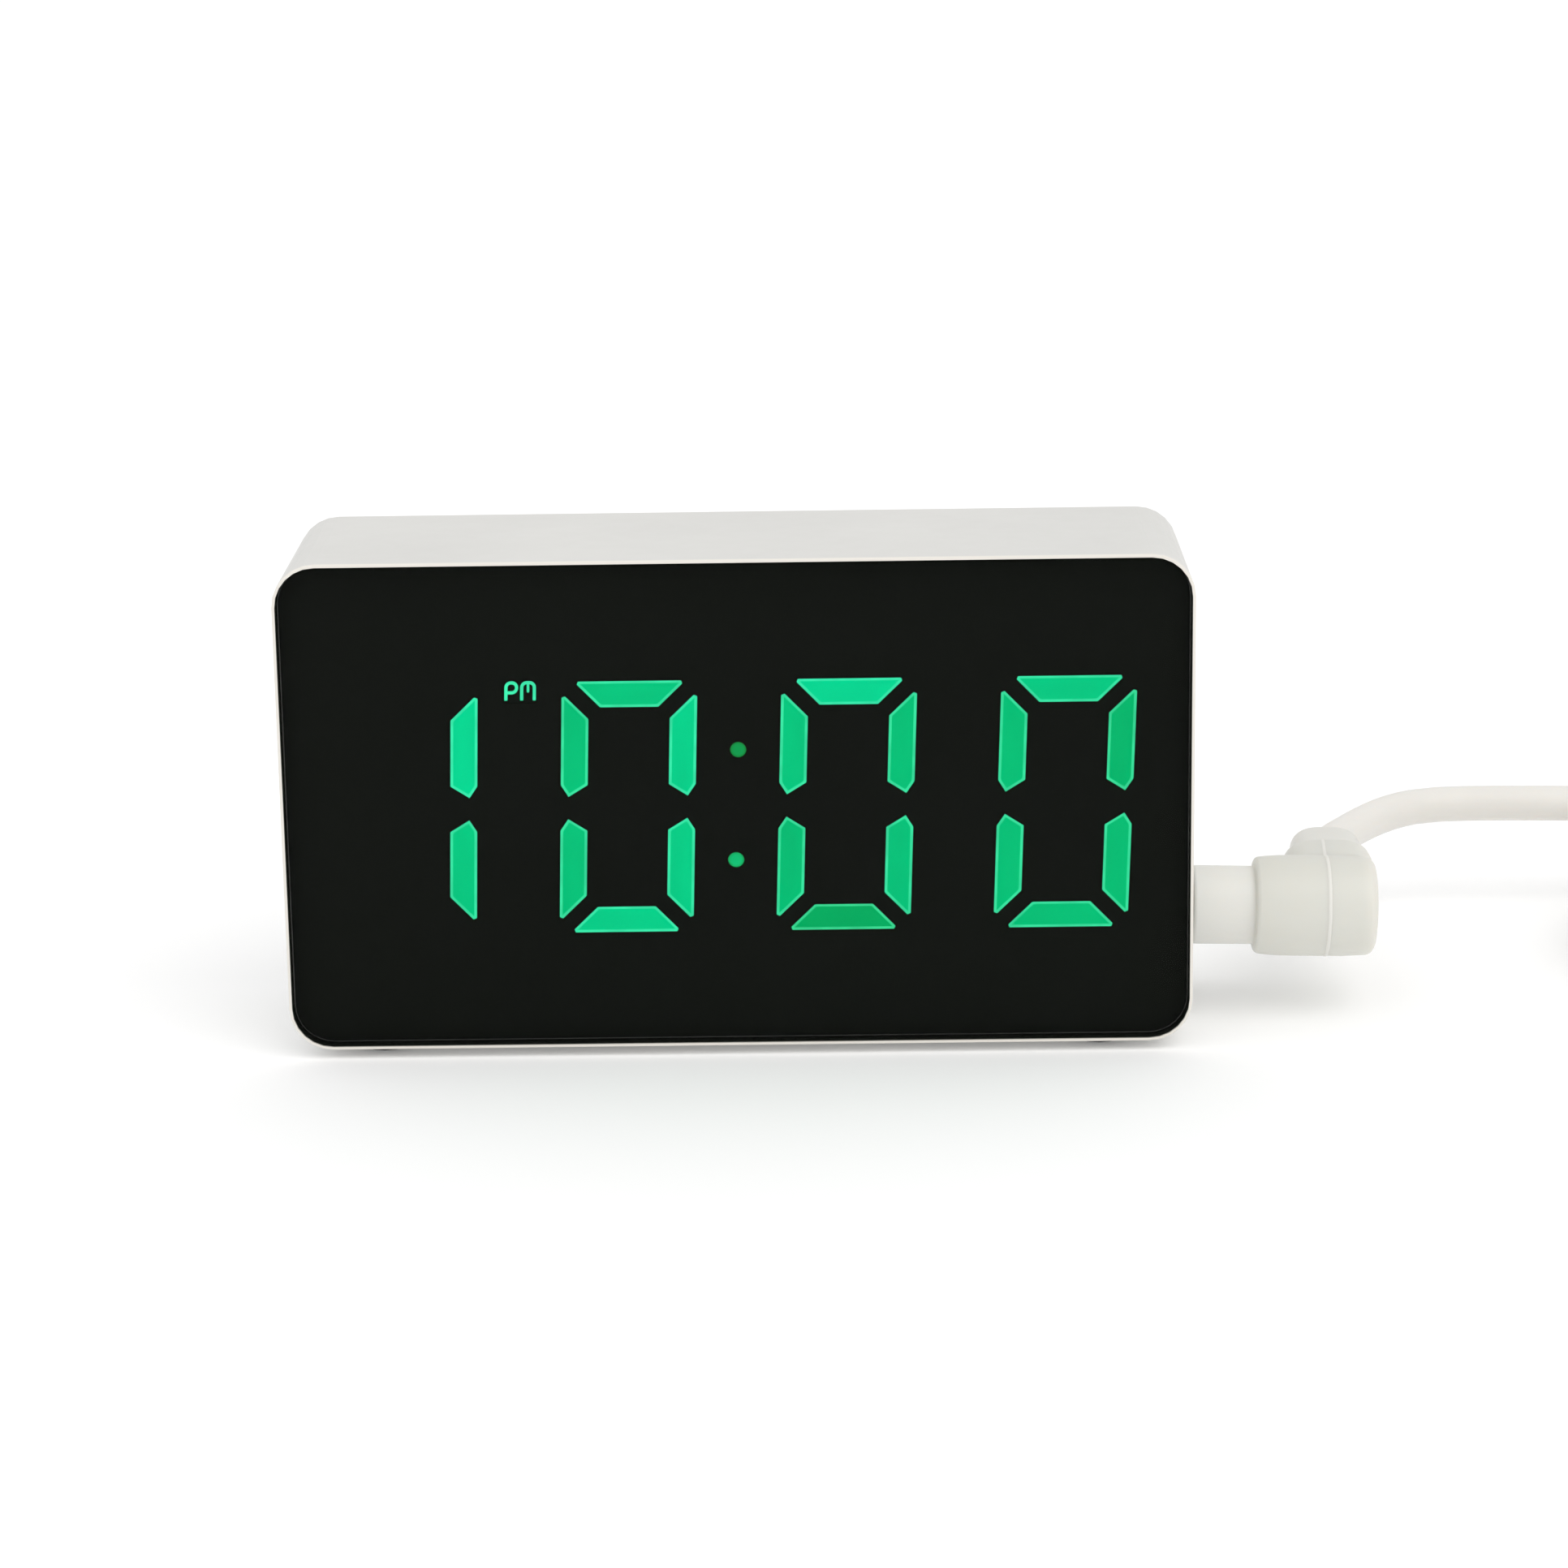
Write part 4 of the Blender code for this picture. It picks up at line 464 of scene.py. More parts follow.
def skin(work, rings):
    """Faces between rings of as many points each, and over both ends, which are returned."""
    for lower, upper in zip(rings, rings[1:]):
        for step in range(len(lower)):
            after = (step + 1) % len(lower)
            work.faces.new((lower[step], lower[after], upper[after], upper[step]))
    return [work.faces.new(end) for end in (rings[0], rings[-1])]


def node_outline(name):
    """The (x, z) corners of a node's box."""
    low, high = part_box(name)
    return [(low.x, low.z), (high.x, low.z), (high.x, high.z), (low.x, high.z)]


def prism(work, outline, front, back, bevel=0.0, slope=0.0, rim=1):
    """Adds a prism between two Y places from an outline in (x, z). With a bevel, the front's
    edge is cut back, and that rim takes the material with the number rim."""
    shapes = [(outline, back), (outline, front)]
    if bevel:
        shapes[1:] = [(outline, front + slope), (inset(outline, bevel), front)]
    loops = [[work.verts.new((x, y, z)) for x, z in points] for points, y in shapes]
    skin(work, loops)
    if bevel:
        work.faces.ensure_lookup_table()
        for face in work.faces[-2 - len(outline) : -2]:
            face.material_index = rim


def inset(outline, distance):
    """Moves each side of a convex outline inwards."""
    points = [Vector(point) for point in outline]
    pairs = list(zip(points, points[1:] + points[:1]))
    sides = [Vector((a.y - b.y, b.x - a.x)).normalized() for a, b in pairs]
    reach = math.copysign(distance, sum(a.x * b.y - b.x * a.y for a, b in pairs))
    return [
        tuple(here + (last + side) * (reach / max((last + side).dot(last), 0.3)))
        for here, last, side in zip(points, sides[-1:] + sides, sides)
    ]


def lathe(work, profile, start, direction, steps=64, closed=False):
    """Turns (height, radius) points about a line."""
    way = Vector(direction).normalized()
    frame_turn = way.to_track_quat("Z", "Y").to_matrix().to_4x4()
    place = Matrix.Translation(Vector(start)) @ frame_turn
    rings = []
    for height, radius in profile:
        if radius < 1e-9:
            rings.append([work.verts.new(place @ Vector((0, 0, height)))])
            continue
        circle = disc((0, 0), radius, steps)
        rings.append([work.verts.new(place @ Vector((x, y, height))) for x, y in circle])
    pairs = list(zip(rings, rings[1:]))
    if closed:
        pairs.append((rings[-1], rings[0]))
    for lower, upper in pairs:
        for step in range(steps):
            after = (step + 1) % steps
            if len(lower) == 1:
                work.faces.new((lower[0], upper[step], upper[after]))
            elif len(upper) == 1:
                work.faces.new((lower[step], lower[after], upper[0]))
            else:
                work.faces.new((lower[step], lower[after], upper[after], upper[step]))


def corner_arc(centre, radius, first, last, steps=6):
    """Points on an arc, from one angle to another in degrees."""
    angles = [math.radians(first + (last - first) * s / steps) for s in range(steps + 1)]
    return [(centre[0] + radius * math.cos(a), centre[1] + radius * math.sin(a)) for a in angles]


def disc(centre, radius, sides=32):
    """Points round a circle."""
    return corner_arc(centre, radius, 0, 360, sides)[:-1]


def rounded(middle_x, middle_z, width, height, radius, steps=8):
    """Outline of a rectangle with round corners."""
    outline = []
    for sign_x, sign_z, first in ((1, 1, 0), (-1, 1, 90), (-1, -1, 180), (1, -1, 270)):
        centre_x = middle_x + sign_x * (width / 2 - radius)
        centre_z = middle_z + sign_z * (height / 2 - radius)
        outline += corner_arc((centre_x, centre_z), radius, first, first + 90, steps)
    return outline


def with_ways(points):
    """Each point of an open flat line, with the line's direction there."""
    points = [Vector(point) for point in points]
    for here, before, after in zip(points, points[:1] + points, points[1:] + points[-1:]):
        yield here, (after - before).normalized()


def flat_shape(name, loops, front, back):
    """Mesh of a flat shape between two Y places, from (x, z) loops: loops inside others are
    its windows."""
    curve = bpy.data.curves.new(name + "_outline", "CURVE")
    curve.dimensions = "2D"
    curve.fill_mode = "BOTH"
    curve.extrude = (back - front) / 2
    for loop in loops:
        spline = curve.splines.new("POLY")
        spline.points.add(len(loop) - 1)
        for point, (x, z) in zip(spline.points, loop):
            point.co = (x, z, 0, 1)
        spline.use_cyclic_u = True
    flat = bpy.data.objects.new(name + "_outline", curve)
    scene.collection.objects.link(flat)
    mesh = bpy.data.meshes.new_from_object(flat)
    mesh.name = name
    bpy.data.objects.remove(flat)
    place = Matrix.Translation((0, (front + back) / 2, 0))
    mesh.transform(place @ Matrix.Rotation(math.pi / 2, 4, "X"))
    work = bmesh.new()
    work.from_mesh(mesh)
    bmesh.ops.remove_doubles(work, verts=work.verts, dist=1e-7)
    bmesh.ops.recalc_face_normals(work, faces=work.faces)
    work.to_mesh(mesh)
    work.free()
    mesh.materials.clear()
    return mesh


# ---- the lead


def smooth_line(route, spacing):
    """Points about spacing apart on a smooth curve through the route's points."""
    points = [Vector(place) for place in route]
    padded = [2 * points[0] - points[1], *points, 2 * points[-1] - points[-2]]
    line = [points[0]]
    for index in range(1, len(padded) - 2):
        before, here, there, after = padded[index - 1 : index + 3]
        count = max(1, round((there - here).length / spacing))
        for step in range(1, count + 1):
            t = step / count
            slope, bend = there - before, 2 * before - 5 * here + 4 * there - after
            twist = 3 * here - before - 3 * there + after
            line.append(0.5 * (2 * here + slope * t + bend * t**2 + twist * t**3))
    return line


def ease(share):
    """0 to 1 with a gentle start and end."""
    share = min(1.0, max(0.0, share))
    return share * share * (3 - 2 * share)


def coil_line():
    """Five turns, clockwise from above. Each turn moves to its neighbour's place on the way
    round, over some degrees, and a little earlier than the turn before it."""
    low, middle, high = LAYERS
    cells = [(OUTER_TURN, high), (INNER_TURN, high), (INNER_TURN, middle)]
    cells += [(INNER_TURN, low), (OUTER_TURN, low), (OUTER_TURN, middle)]
    crossing, earlier, first = 50, 55, 235
    line = []
    for turn in range(len(cells) - 1):
        start = first - earlier * turn
        for step in range(COIL_STEPS):
            phase = 360 * step / COIL_STEPS
            share = ease((phase - start) / crossing)
            radius = cells[turn][0] * (1 - share) + cells[turn + 1][0] * share
            height = cells[turn][1] * (1 - share) + cells[turn + 1][1] * share
            angle = math.radians(90 - phase)
            x, y = COIL_X + radius * math.cos(angle), COIL_Y + radius * math.sin(angle)
            line.append(Vector((x, y, height)))
    line.append(Vector((COIL_X, COIL_Y + OUTER_TURN, middle)))
    return line


def between(line, start, end):
    """The part of a line that lies between two places along X."""
    first = next(i for i, p in enumerate(line) if p.x > start + 1e-6)
    last = next(i for i, p in enumerate(line) if p.x > end - 1e-6)
    return line[first:last]


def make_cord(on_cord):
    """The whole cord as one tube: lead, coil and tail. The pieces passed in to go with it are not
    used.
    """
    lead = smooth_line(LEAD_ROUTE, LEAD_SPACING)
    coil = coil_line()
    way_in = smooth_line([LEAD_ROUTE[-2], LEAD_ROUTE[-1], coil[0], coil[1]], JOIN_SPACING)
    way_in = between(way_in, LEAD_ROUTE[-1][0], coil[0].x)
    way_out = smooth_line([coil[-2], coil[-1], TAIL_ROUTE[0], TAIL_ROUTE[1]], JOIN_SPACING)
    way_out = between(way_out, coil[-1].x, TAIL_ROUTE[0][0])
    tail = smooth_line(TAIL_ROUTE, TAIL_SPACING)
    line = lead + way_in + coil + way_out + tail
    curve = bpy.data.curves.new("power_cord", "CURVE")
    curve.dimensions = "3D"
    curve.bevel_depth = CORD_DIAMETER / 2
    curve.bevel_resolution = 6
    curve.use_fill_caps = True
    spline = curve.splines.new("POLY")
    spline.points.add(len(line) - 1)
    for point, place in zip(spline.points, line):
        point.co = (*place, 1.0)
    spline.use_smooth = True
    cord = bpy.data.objects.new("power_cord", curve)
    scene.collection.objects.link(cord)
    curve.materials.append(JACKET)
    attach(cord, "lead")
    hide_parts("cord_lead", "cord_coil", "cord_tail")


# ---- plug, strain relief, USB plug

PLUG_START_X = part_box("power_plug")[0].x
SLEEVE_LOW, SLEEVE_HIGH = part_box("plug_sleeve")
JACK_Y = (SLEEVE_LOW.y + SLEEVE_HIGH.y) / 2
JACK_Z = (SLEEVE_LOW.z + SLEEVE_HIGH.z) / 2
SLEEVE_RADIUS = (SLEEVE_HIGH.z - SLEEVE_LOW.z) / 2
NECK_RADIUS = 4.13 * MM
NECK_LENGTH = 7.0 * MM
BARREL_RADIUS = 5.3 * MM
BARREL_LENGTH = 12.85 * MM
LEG_INSET = 4.65 * MM
RIDGE_INSET = 5.3 * MM
NECK_INSET = 0.5
PLUG_SAG = math.radians(1.3)
SAG_PIVOT = 3.4 * MM
BORE_CLEARANCE = 0.3
LEG_TURN = math.radians(3.8)
LEG_WAY = Vector((math.sin(LEG_TURN), math.cos(LEG_TURN), 0))
BARREL_END_X = PLUG_START_X + NECK_LENGTH + BARREL_LENGTH
LEG_START = Vector((BARREL_END_X - LEG_INSET, JACK_Y, JACK_Z))


def turned(name, profile, start, direction, steps=64, closed=False):
    """Mesh of a lathe profile in millimetres."""
    work = bmesh.new()
    lathe(work, [(h * MM, r * MM) for h, r in profile], start, direction, steps, closed)
    return to_mesh(work, name)


def joined(name, meshes, cuts=()):
    """One closed mesh around several that overlap, less the cuts."""
    every = [*meshes, *cuts]
    pieces = [bpy.data.objects.new(f"{name}_{index}", mesh) for index, mesh in enumerate(every)]
    for piece in pieces:
        scene.collection.objects.link(piece)
    for index, other in enumerate(pieces[1:], start=1):
        change = pieces[0].modifiers.new("change", "BOOLEAN")
        change.operation = "UNION" if index < len(meshes) else "DIFFERENCE"
        change.solver = "EXACT"
        change.object = other
    graph = bpy.context.evaluated_depsgraph_get()
    mesh = bpy.data.meshes.new_from_object(pieces[0].evaluated_get(graph))
    mesh.name = name
    for piece in pieces:
        bpy.data.objects.remove(piece)
    mesh.materials.clear()
    return mesh


# Sections of the plug's leg: distance from the barrel's axis, the reach to its left and right
# and half its height, all in millimetres, and how square the section is
LEG_SECTIONS = (
    (-2.0, 3.0, 3.0, 3.0, 2.5),
    (0.0, 4.9, 4.65, 4.85, 3.0),
    (3.0, 5.15, 4.8, 5.0, 3.4),
    (6.0, 5.2, 4.85, 5.0, 3.4),
    (7.9, 5.05, 4.7, 4.92, 3.4),
    (8.5, 4.88, 4.55, 4.78, 3.4),
    (8.95, 4.6, 4.35, 4.55, 3.4),
    (9.2, 4.3, 4.1, 4.28, 3.4),
    (9.3, 4.0, 3.85, 4.0, 3.4),
)
BOOT_SECTIONS = (
    (9.36, 3.95, 3.8, 3.95, 3.4),
    (9.45, 4.1, 3.95, 4.12, 3.4),
    (9.8, 4.15, 4.0, 4.2, 3.4),
    (13.0, 4.05, 3.95, 4.16, 3.4),
    (15.8, 3.92, 3.85, 4.1, 3.3),
    (16.6, 3.76, 3.7, 3.95, 3.2),
    (17.1, 3.5, 3.45, 3.68, 3.0),
    (17.45, 3.1, 3.05, 3.25, 2.8),
    (17.6, 2.65, 2.6, 2.75, 2.5),
    (17.7, 2.35, 2.35, 2.4, 2.2),
    (19.6, 2.2, 2.2, 2.2, 2.0),
    (19.95, 2.12, 2.12, 2.12, 2.0),
    (20.1, 1.95, 1.95, 1.95, 2.0),
)


def plug_loft(name, sections, steps=96):
    """A loft along the plug's leg through rounded-square sections."""
    side = LEG_WAY.cross(Vector((0, 0, 1)))
    work = bmesh.new()
    rings = []
    for along, left, right, high, squareness in sections:
        ring = []
        for across, up in disc((0, 0), 1, steps):
            reach = (abs(across) ** squareness + abs(up) ** squareness) ** (-1 / squareness)
            wide = right if across > 0 else left
            offset = side * (across * reach * wide * MM) + Vector((0, 0, up * reach * high * MM))
            ring.append(work.verts.new(LEG_START + LEG_WAY * (along * MM) + offset))
        rings.append(ring)
    skin(work, rings)
    return to_mesh(work, name)


def leg_ridge(name, sign, half=0.17 * MM, proud=0.035, depth=0.3):
    """Parting ridge along the leg's top or bottom."""
    side = LEG_WAY.cross(Vector((0, 0, 1)))
    middle = LEG_START - side * (RIDGE_INSET - LEG_INSET)
    work = bmesh.new()
    rings = []
    section = ((-half, -depth), (half, -depth), (half, 0.0), (0.0, proud), (-half, 0.0))
    for along, _, _, high, _ in LEG_SECTIONS[1:]:
        ring = []
        for across, level in section:
            place = middle + LEG_WAY * (along * MM) + side * across
            ring.append(work.verts.new(place + Vector((0, 0, sign * (high + level) * MM))))
        rings.append(ring)
    skin(work, rings)
    return finish_piece(name, work, "lead", RIDGE_HIGHLIGHT)


def make_plug():
    """Right-angle plug of soft white PVC, with a parting ridge round its barrel and leg, painted
    lighter as a painted highlight.
    """
    mm = 1 / MM
    neck, barrel = NECK_RADIUS * mm, BARREL_RADIUS * mm
    length, total = NECK_LENGTH * mm, (NECK_LENGTH + BARREL_LENGTH) * mm
    socket = (SLEEVE_HIGH.x - PLUG_START_X) * mm + BORE_CLEARANCE
    bore = SLEEVE_RADIUS * mm + BORE_CLEARANCE
    profile = [
        (socket, 0.0),
        (socket, bore),
        (NECK_INSET + 0.15, bore),
        (NECK_INSET, bore + 0.15),
        *corner_arc((NECK_INSET + 0.4, neck - 0.4), 0.4, 180, 90),
        (length - 0.12, neck - 0.02),
        (length, neck + 0.15),
        *corner_arc((length + 0.55, barrel - 0.75), 0.55, 180, 100),
        (length + 1.3, barrel - 0.12),
        (length + 2.6, barrel - 0.03),
        (length + 5.0, barrel),
        (total - 3.6, barrel - 0.02),
        (total - 2.2, barrel - 0.1),
        *corner_arc((total - 1.25, barrel - 1.2), 1.05, 80, 14),
        (total - 0.1, barrel * 0.5),
        (total, 0.0),
    ]
    way = Vector((math.cos(PLUG_SAG), 0, -math.sin(PLUG_SAG)))
    pivot = Vector((LEG_START.x - SAG_PIVOT, JACK_Y, JACK_Z))
    start = pivot - way * (pivot.x - PLUG_START_X)
    body = turned("plug_body", profile, start, way, 96)
    shape = joined("plug_shape", [body, plug_loft("plug_leg", LEG_SECTIONS)])
    ring = [(-0.18, barrel - 0.4), (-0.18, barrel - 0.01), (-0.1, barrel + 0.035)]
    ring += [(-along, radius) for along, radius in reversed(ring)]
    ridge_start = start + way * (total - RIDGE_INSET / MM) * MM
    ridge = turned("plug_ridge", ring, ridge_start, way, 96, True)
    piece = finish_piece("plug_body", shape, "lead", PLUG)
    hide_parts("power_plug")
    finish_piece("plug_parting_ridge", ridge, "lead", RIDGE_HIGHLIGHT)
    leg_ridge("leg_top_ridge", 1)
    leg_ridge("leg_bottom_ridge", -1)


def make_relief():
    """Soft square boot behind the leg that narrows to a sleeve round the cord."""
    boot = plug_loft("strain_boot", BOOT_SECTIONS)
    piece = finish_piece("strain_boot", boot, "lead", BOOT)
    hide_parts("strain_relief")


def slab(name, outline, start, end, bevel, segments=3):
    """A block with an (x, z) outline between two Y places, its end rims rounded."""
    work = bmesh.new()
    caps = skin(work, [[work.verts.new((x, y, z)) for x, z in outline] for y in (start, end)])
    rims = [edge for cap in caps for edge in cap.edges]
    rim = {"offset": bevel, "segments": segments, "profile": 0.5, "affect": "EDGES"}
    bmesh.ops.bevel(work, geom=rims, **rim)
    return to_mesh(work, name)


USB_LOW, USB_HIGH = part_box("usb_plug_body")
USB_X = (USB_LOW.x + USB_HIGH.x) / 2
USB_Z = (USB_LOW.z + USB_HIGH.z) / 2
USB_NECK = 8.0 * MM
USB_NOSE = 6.0 * MM
USB_HEEL = 3.0 * MM
GRIP_INSET = 0.35 * MM
GRIP_RIBS = 7
GRIP_START, GRIP_PITCH, GRIP_RIB = 8.0, 1.6, 0.75 * MM
NECK_RINGS = 5
NECK_PITCH = 1.45


def make_usb_plug():
    """Moulded USB plug: a rounded body with grip ribs on its sides and a ribbed neck."""
    width, height = USB_HIGH.x - USB_LOW.x, USB_HIGH.z - USB_LOW.z
    slim, low = width - 2 * GRIP_INSET, height - 2 * GRIP_INSET
    outline = rounded(USB_X, USB_Z, slim, low, 1.8 * MM)
    start, end = USB_LOW.y, USB_HIGH.y - USB_NECK
    main = slab("usb_main", outline, start, end, 0.7 * MM)
    full = rounded(USB_X, USB_Z, width, height, 2.0 * MM)
    nose = slab("usb_nose", full, start, start + USB_NOSE, 0.6 * MM)
    heel = slab("usb_heel", full, end - USB_HEEL, end, 0.6 * MM)
    ribs = []
    rib = rounded(USB_X, USB_Z, width - 0.06 * MM, height - 0.1 * MM, 1.9 * MM)
    for index in range(GRIP_RIBS):
        y = start + (GRIP_START + GRIP_PITCH * index) * MM
        ribs.append(slab(f"usb_rib_{index}", rib, y, y + GRIP_RIB, 0.2 * MM, 2))
    neck = [(-1.0, 0.0), (-1.0, 3.3)]
    for index in range(NECK_RINGS):
        base, radius = 0.3 + NECK_PITCH * index, 3.35 - 0.18 * index
        neck += [(base, radius), (base + 0.8, radius - 0.05), (base + 0.95, radius - 0.45)]
        neck += [(base + 1.25, radius - 0.5)]
    reach = USB_NECK / MM
    neck += [(reach - 0.25, 2.45), (reach, 2.3), (reach, 0.0)]
    boot = turned("usb_boot", neck, (USB_X, end, USB_Z), (0, 1, 0), 64)
    mesh = joined("usb_grip", [main, nose, heel, boot, *ribs])
    piece = finish_piece("usb_grip", mesh, "lead", USB_PVC)
    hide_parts("usb_plug_body")
    return piece


SHELL_LOW, SHELL_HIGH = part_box("usb_plug_shell")
SHELL_WALL = 0.3 * MM
WINDOW_INSET = 5.0 * MM
WINDOW_SPREAD = 2.9 * MM
WINDOW_WIDTH, WINDOW_LENGTH = 2.3 * MM, 2.1 * MM
TONGUE_LOW, TONGUE_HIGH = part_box("usb_tongue")
CONTACTS = 4
CONTACT_PITCH = 2.3 * MM


def make_usb_shell():
    """Folded steel shell with its four latch windows, and the tongue's contacts."""
    width, height = SHELL_HIGH.x - SHELL_LOW.x, SHELL_HIGH.z - SHELL_LOW.z
    outer = rounded(USB_X, USB_Z, width, height, 0.6 * MM)
    wide, tall = width - 2 * SHELL_WALL, height - 2 * SHELL_WALL
    inner = rounded(USB_X, USB_Z, wide, tall, 0.35 * MM)
    tube = flat_shape("usb_tube", [outer, inner], SHELL_LOW.y, SHELL_HIGH.y)
    windows = []
    for index, sign in enumerate((-1, 1)):
        x, y = USB_X + sign * WINDOW_SPREAD, SHELL_LOW.y + WINDOW_INSET
        window = rounded(x, USB_Z, WINDOW_WIDTH, height + 2 * MM, 0.2 * MM)
        windows.append(slab(f"usb_window_{index}", window, y, y + WINDOW_LENGTH, 0.0))
    seam = rounded(USB_X, SHELL_LOW.z, 0.12 * MM, 1.0 * MM, 0.03 * MM)
    windows.append(slab("usb_seam", seam, SHELL_LOW.y - MM, SHELL_HIGH.y + MM, 0.0))
    mesh = joined("usb_steel", [tube], windows)
    piece = finish_piece("usb_steel", mesh, "lead", NICKEL)
    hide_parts("usb_plug_shell")
    for index in range(CONTACTS):
        x = USB_X + (index - (CONTACTS - 1) / 2) * CONTACT_PITCH
        strip = rounded(x, TONGUE_LOW.z - 0.05 * MM, 1.1 * MM, 0.1 * MM, 0.03 * MM, 2)
        mesh = slab(f"usb_contact_{index}", strip, TONGUE_LOW.y + MM, TONGUE_HIGH.y - MM, 0.0)
        finish_piece(f"usb_contact_{index}", mesh, "lead", GOLD)
    return piece


STRAP_WIDTH = 4.0 * MM
STRAP_THICKNESS = 0.55 * MM
STRAP_BEND = 1.2 * MM
STRAP_EDGE = 0.14 * MM
STRAP_END = 4.5 * MM


def make_strap():
    """Woven strap once round the coil's turns, its free end lapped over its start."""
    thick = STRAP_THICKNESS
    low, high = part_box("cable_tie")
    middle_y, middle_z = (low.y + high.y) / 2, (low.z + high.z) / 2
    wide, tall = high.y - low.y - thick, high.z - low.z - thick
    around = rounded(middle_y, middle_z, wide, tall, STRAP_BEND, 10)
    lap = rounded(middle_y, middle_z, wide + 2.3 * thick, tall, STRAP_BEND + thick, 10)
    top = len(around) // 4
    path = [*around[top:], *around[:top], *lap[top : 2 * top]]
    path.append((path[-1][0], path[-1][1] - STRAP_END))
    across, deep, edge = STRAP_WIDTH / 2, thick / 2, STRAP_EDGE
    corners = [(-across, edge - deep), (edge - across, -deep)]
    corners += [(across - edge, -deep), (across, edge - deep)]
    corners += [(-x, -depth) for x, depth in corners]
    work = bmesh.new()
    rings = []
    for here, way in with_ways(path):
        out = Vector((way.y, -way.x))
        ring = []
        for x, depth in corners:
            place = here + out * depth
            ring.append(work.verts.new((COIL_X + x, place.x, place.y)))
        rings.append(ring)
    skin(work, rings)
    piece = finish_piece("strap", work, "lead", WEBBING)
    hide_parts("cable_tie")
    return piece


make_plug()
make_relief()
make_cord([make_usb_plug(), make_usb_shell(), make_strap()])


# ---- the display


def blunted(outline, sharp):
    """An outline with its sharp corners, given by number, cut off."""
    shaped = []
    count = len(outline)
    for index, point in enumerate(outline):
        here = Vector(point)
        if index not in sharp:
            shaped.append(point)
            continue
        for other in (outline[index - 1], outline[(index + 1) % count]):
            way = (Vector(other) - here).normalized()
            shaped.append(tuple(here + way * SEGMENT_BLUNT))
    return shaped


def segment_outlines():
    """The seven segments about a digit's centre, upright."""
    half_x, half_z, thick = DIGIT_WIDTH / 2, DIGIT_HEIGHT / 2, SEGMENT_THICKNESS
    split = SEGMENT_SPLIT / math.sqrt(2)
    inner_x, inner_z = half_x - thick, half_z - thick
    top = [(half_x - split, half_z), (-half_x + split, half_z)]
    top += [(-half_x + split + thick, inner_z), (half_x - split - thick, inner_z)]
    upper_right = [(half_x, WAIST_SHOULDER), (half_x, half_z - split)]
    upper_right += [(inner_x, inner_z - split), (inner_x, WAIST_SHOULDER)]
    upper_right.append((half_x - WAIST_TIP_INSET, WAIST_TIP))
    waist_x = inner_x - split + thick / 2
    middle = [(waist_x, 0.0), (waist_x - thick / 2, thick / 2), (thick / 2 - waist_x, thick / 2)]
    middle += [(-x, -z) for x, z in middle]
    top = blunted(top, (0, 1))
    upper_right = blunted(upper_right, (1,))
    upper_left = [(-x, z) for x, z in reversed(upper_right)]
    return {
        "a": top,
        "b": upper_right,
        "c": [(x, -z) for x, z in reversed(upper_right)],
        "d": [(x, -z) for x, z in reversed(top)],
        "e": [(x, -z) for x, z in reversed(upper_left)],
        "f": upper_left,
        "g": middle,
    }


def slanted(outline, centre_x):
    """An outline at its place in the display, leaning as the numerals do."""
    lean = math.tan(DIGIT_SLANT)
    return [(centre_x + x + z * lean, DISPLAY_Z + z) for x, z in outline]


# Light that the two faces of the tinted panel take away
PANEL_LOSS = 1 / 0.7**2
RIM_WIDTH = 0.28 * MM
UNLIT = moulded("unlit_guide", BLACK, 0.8, specular=0.02)
# How bright each lit segment is, green from 0 to 1
DIGITS = (
    ("hour_tens", {"b": 0.665, "c": 0.578}),
    ("hour_units", {"a": 0.565, "b": 0.631, "c": 0.604, "d": 0.624, "e": 0.533, "f": 0.527}),
    ("minute_tens", {"a": 0.672, "b": 0.521, "c": 0.539, "d": 0.392, "e": 0.503, "f": 0.558}),
    ("minute_units", {"a": 0.591, "b": 0.462, "c": 0.503, "d": 0.515, "e": 0.515, "f": 0.515}),
)


def led_colour(green, wash=0.0):
    """Green of a lit guide: bluer where it is brighter, and paler with some wash."""
    return (0.001 + wash * 0.1, green, green * (0.07 + 0.53 * green))


def guide(name, shape, material):
    """A piece of the light guides, flat-faced as they are."""
    return finish_piece(name, shape, "clock", material, 0)


def make_light(name, outline, bevel, slope, face, rim):
    """The guide behind one lit window: its face and its rim."""
    work = bmesh.new()
    prism(work, outline, GUIDE_FRONT, WEB_FRONT, bevel, slope)
    guide(name, work, [face, rim])


def make_digits():
    """Each digit: its lit segments, and the unlit ones on the web that carries them all."""
    outlines = segment_outlines()
    for index, (name, lit) in enumerate(DIGITS):
        centre_x = (index - 1.5) * DIGIT_PITCH
        field = bmesh.new()
        prism(field, node_outline(name + "_guide"), WEB_FRONT, WEB_BACK)
        for key, outline in outlines.items():
            shape = slanted(outline, centre_x)
            if key not in lit:
                prism(field, shape, GUIDE_FRONT, WEB_FRONT, RIM_WIDTH, 0.1 * MM, 0)
                continue
            stretch = (1, 1, 0.25) if key in "bcef" else (0.25, 1, 1)
            face = glow(f"{name}_{key}_light", led_colour(lit[key]), PANEL_LOSS, 0.04, stretch)
            rim_colour = led_colour(0.42 + 0.6 * lit[key], 0.4)
            rim = glow(f"{name}_{key}_rim", rim_colour, PANEL_LOSS, 0.10)
            make_light(f"{name}_{key}", shape, RIM_WIDTH, 0.03 * MM, face, rim)
        piece = guide(name + "_field", field, UNLIT)
        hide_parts(name + "_guide")


def colon_place(sign):
    rise = COLON_LIFT + sign * COLON_SPACING / 2
    return (rise * math.tan(DIGIT_SLANT), DISPLAY_Z + rise)


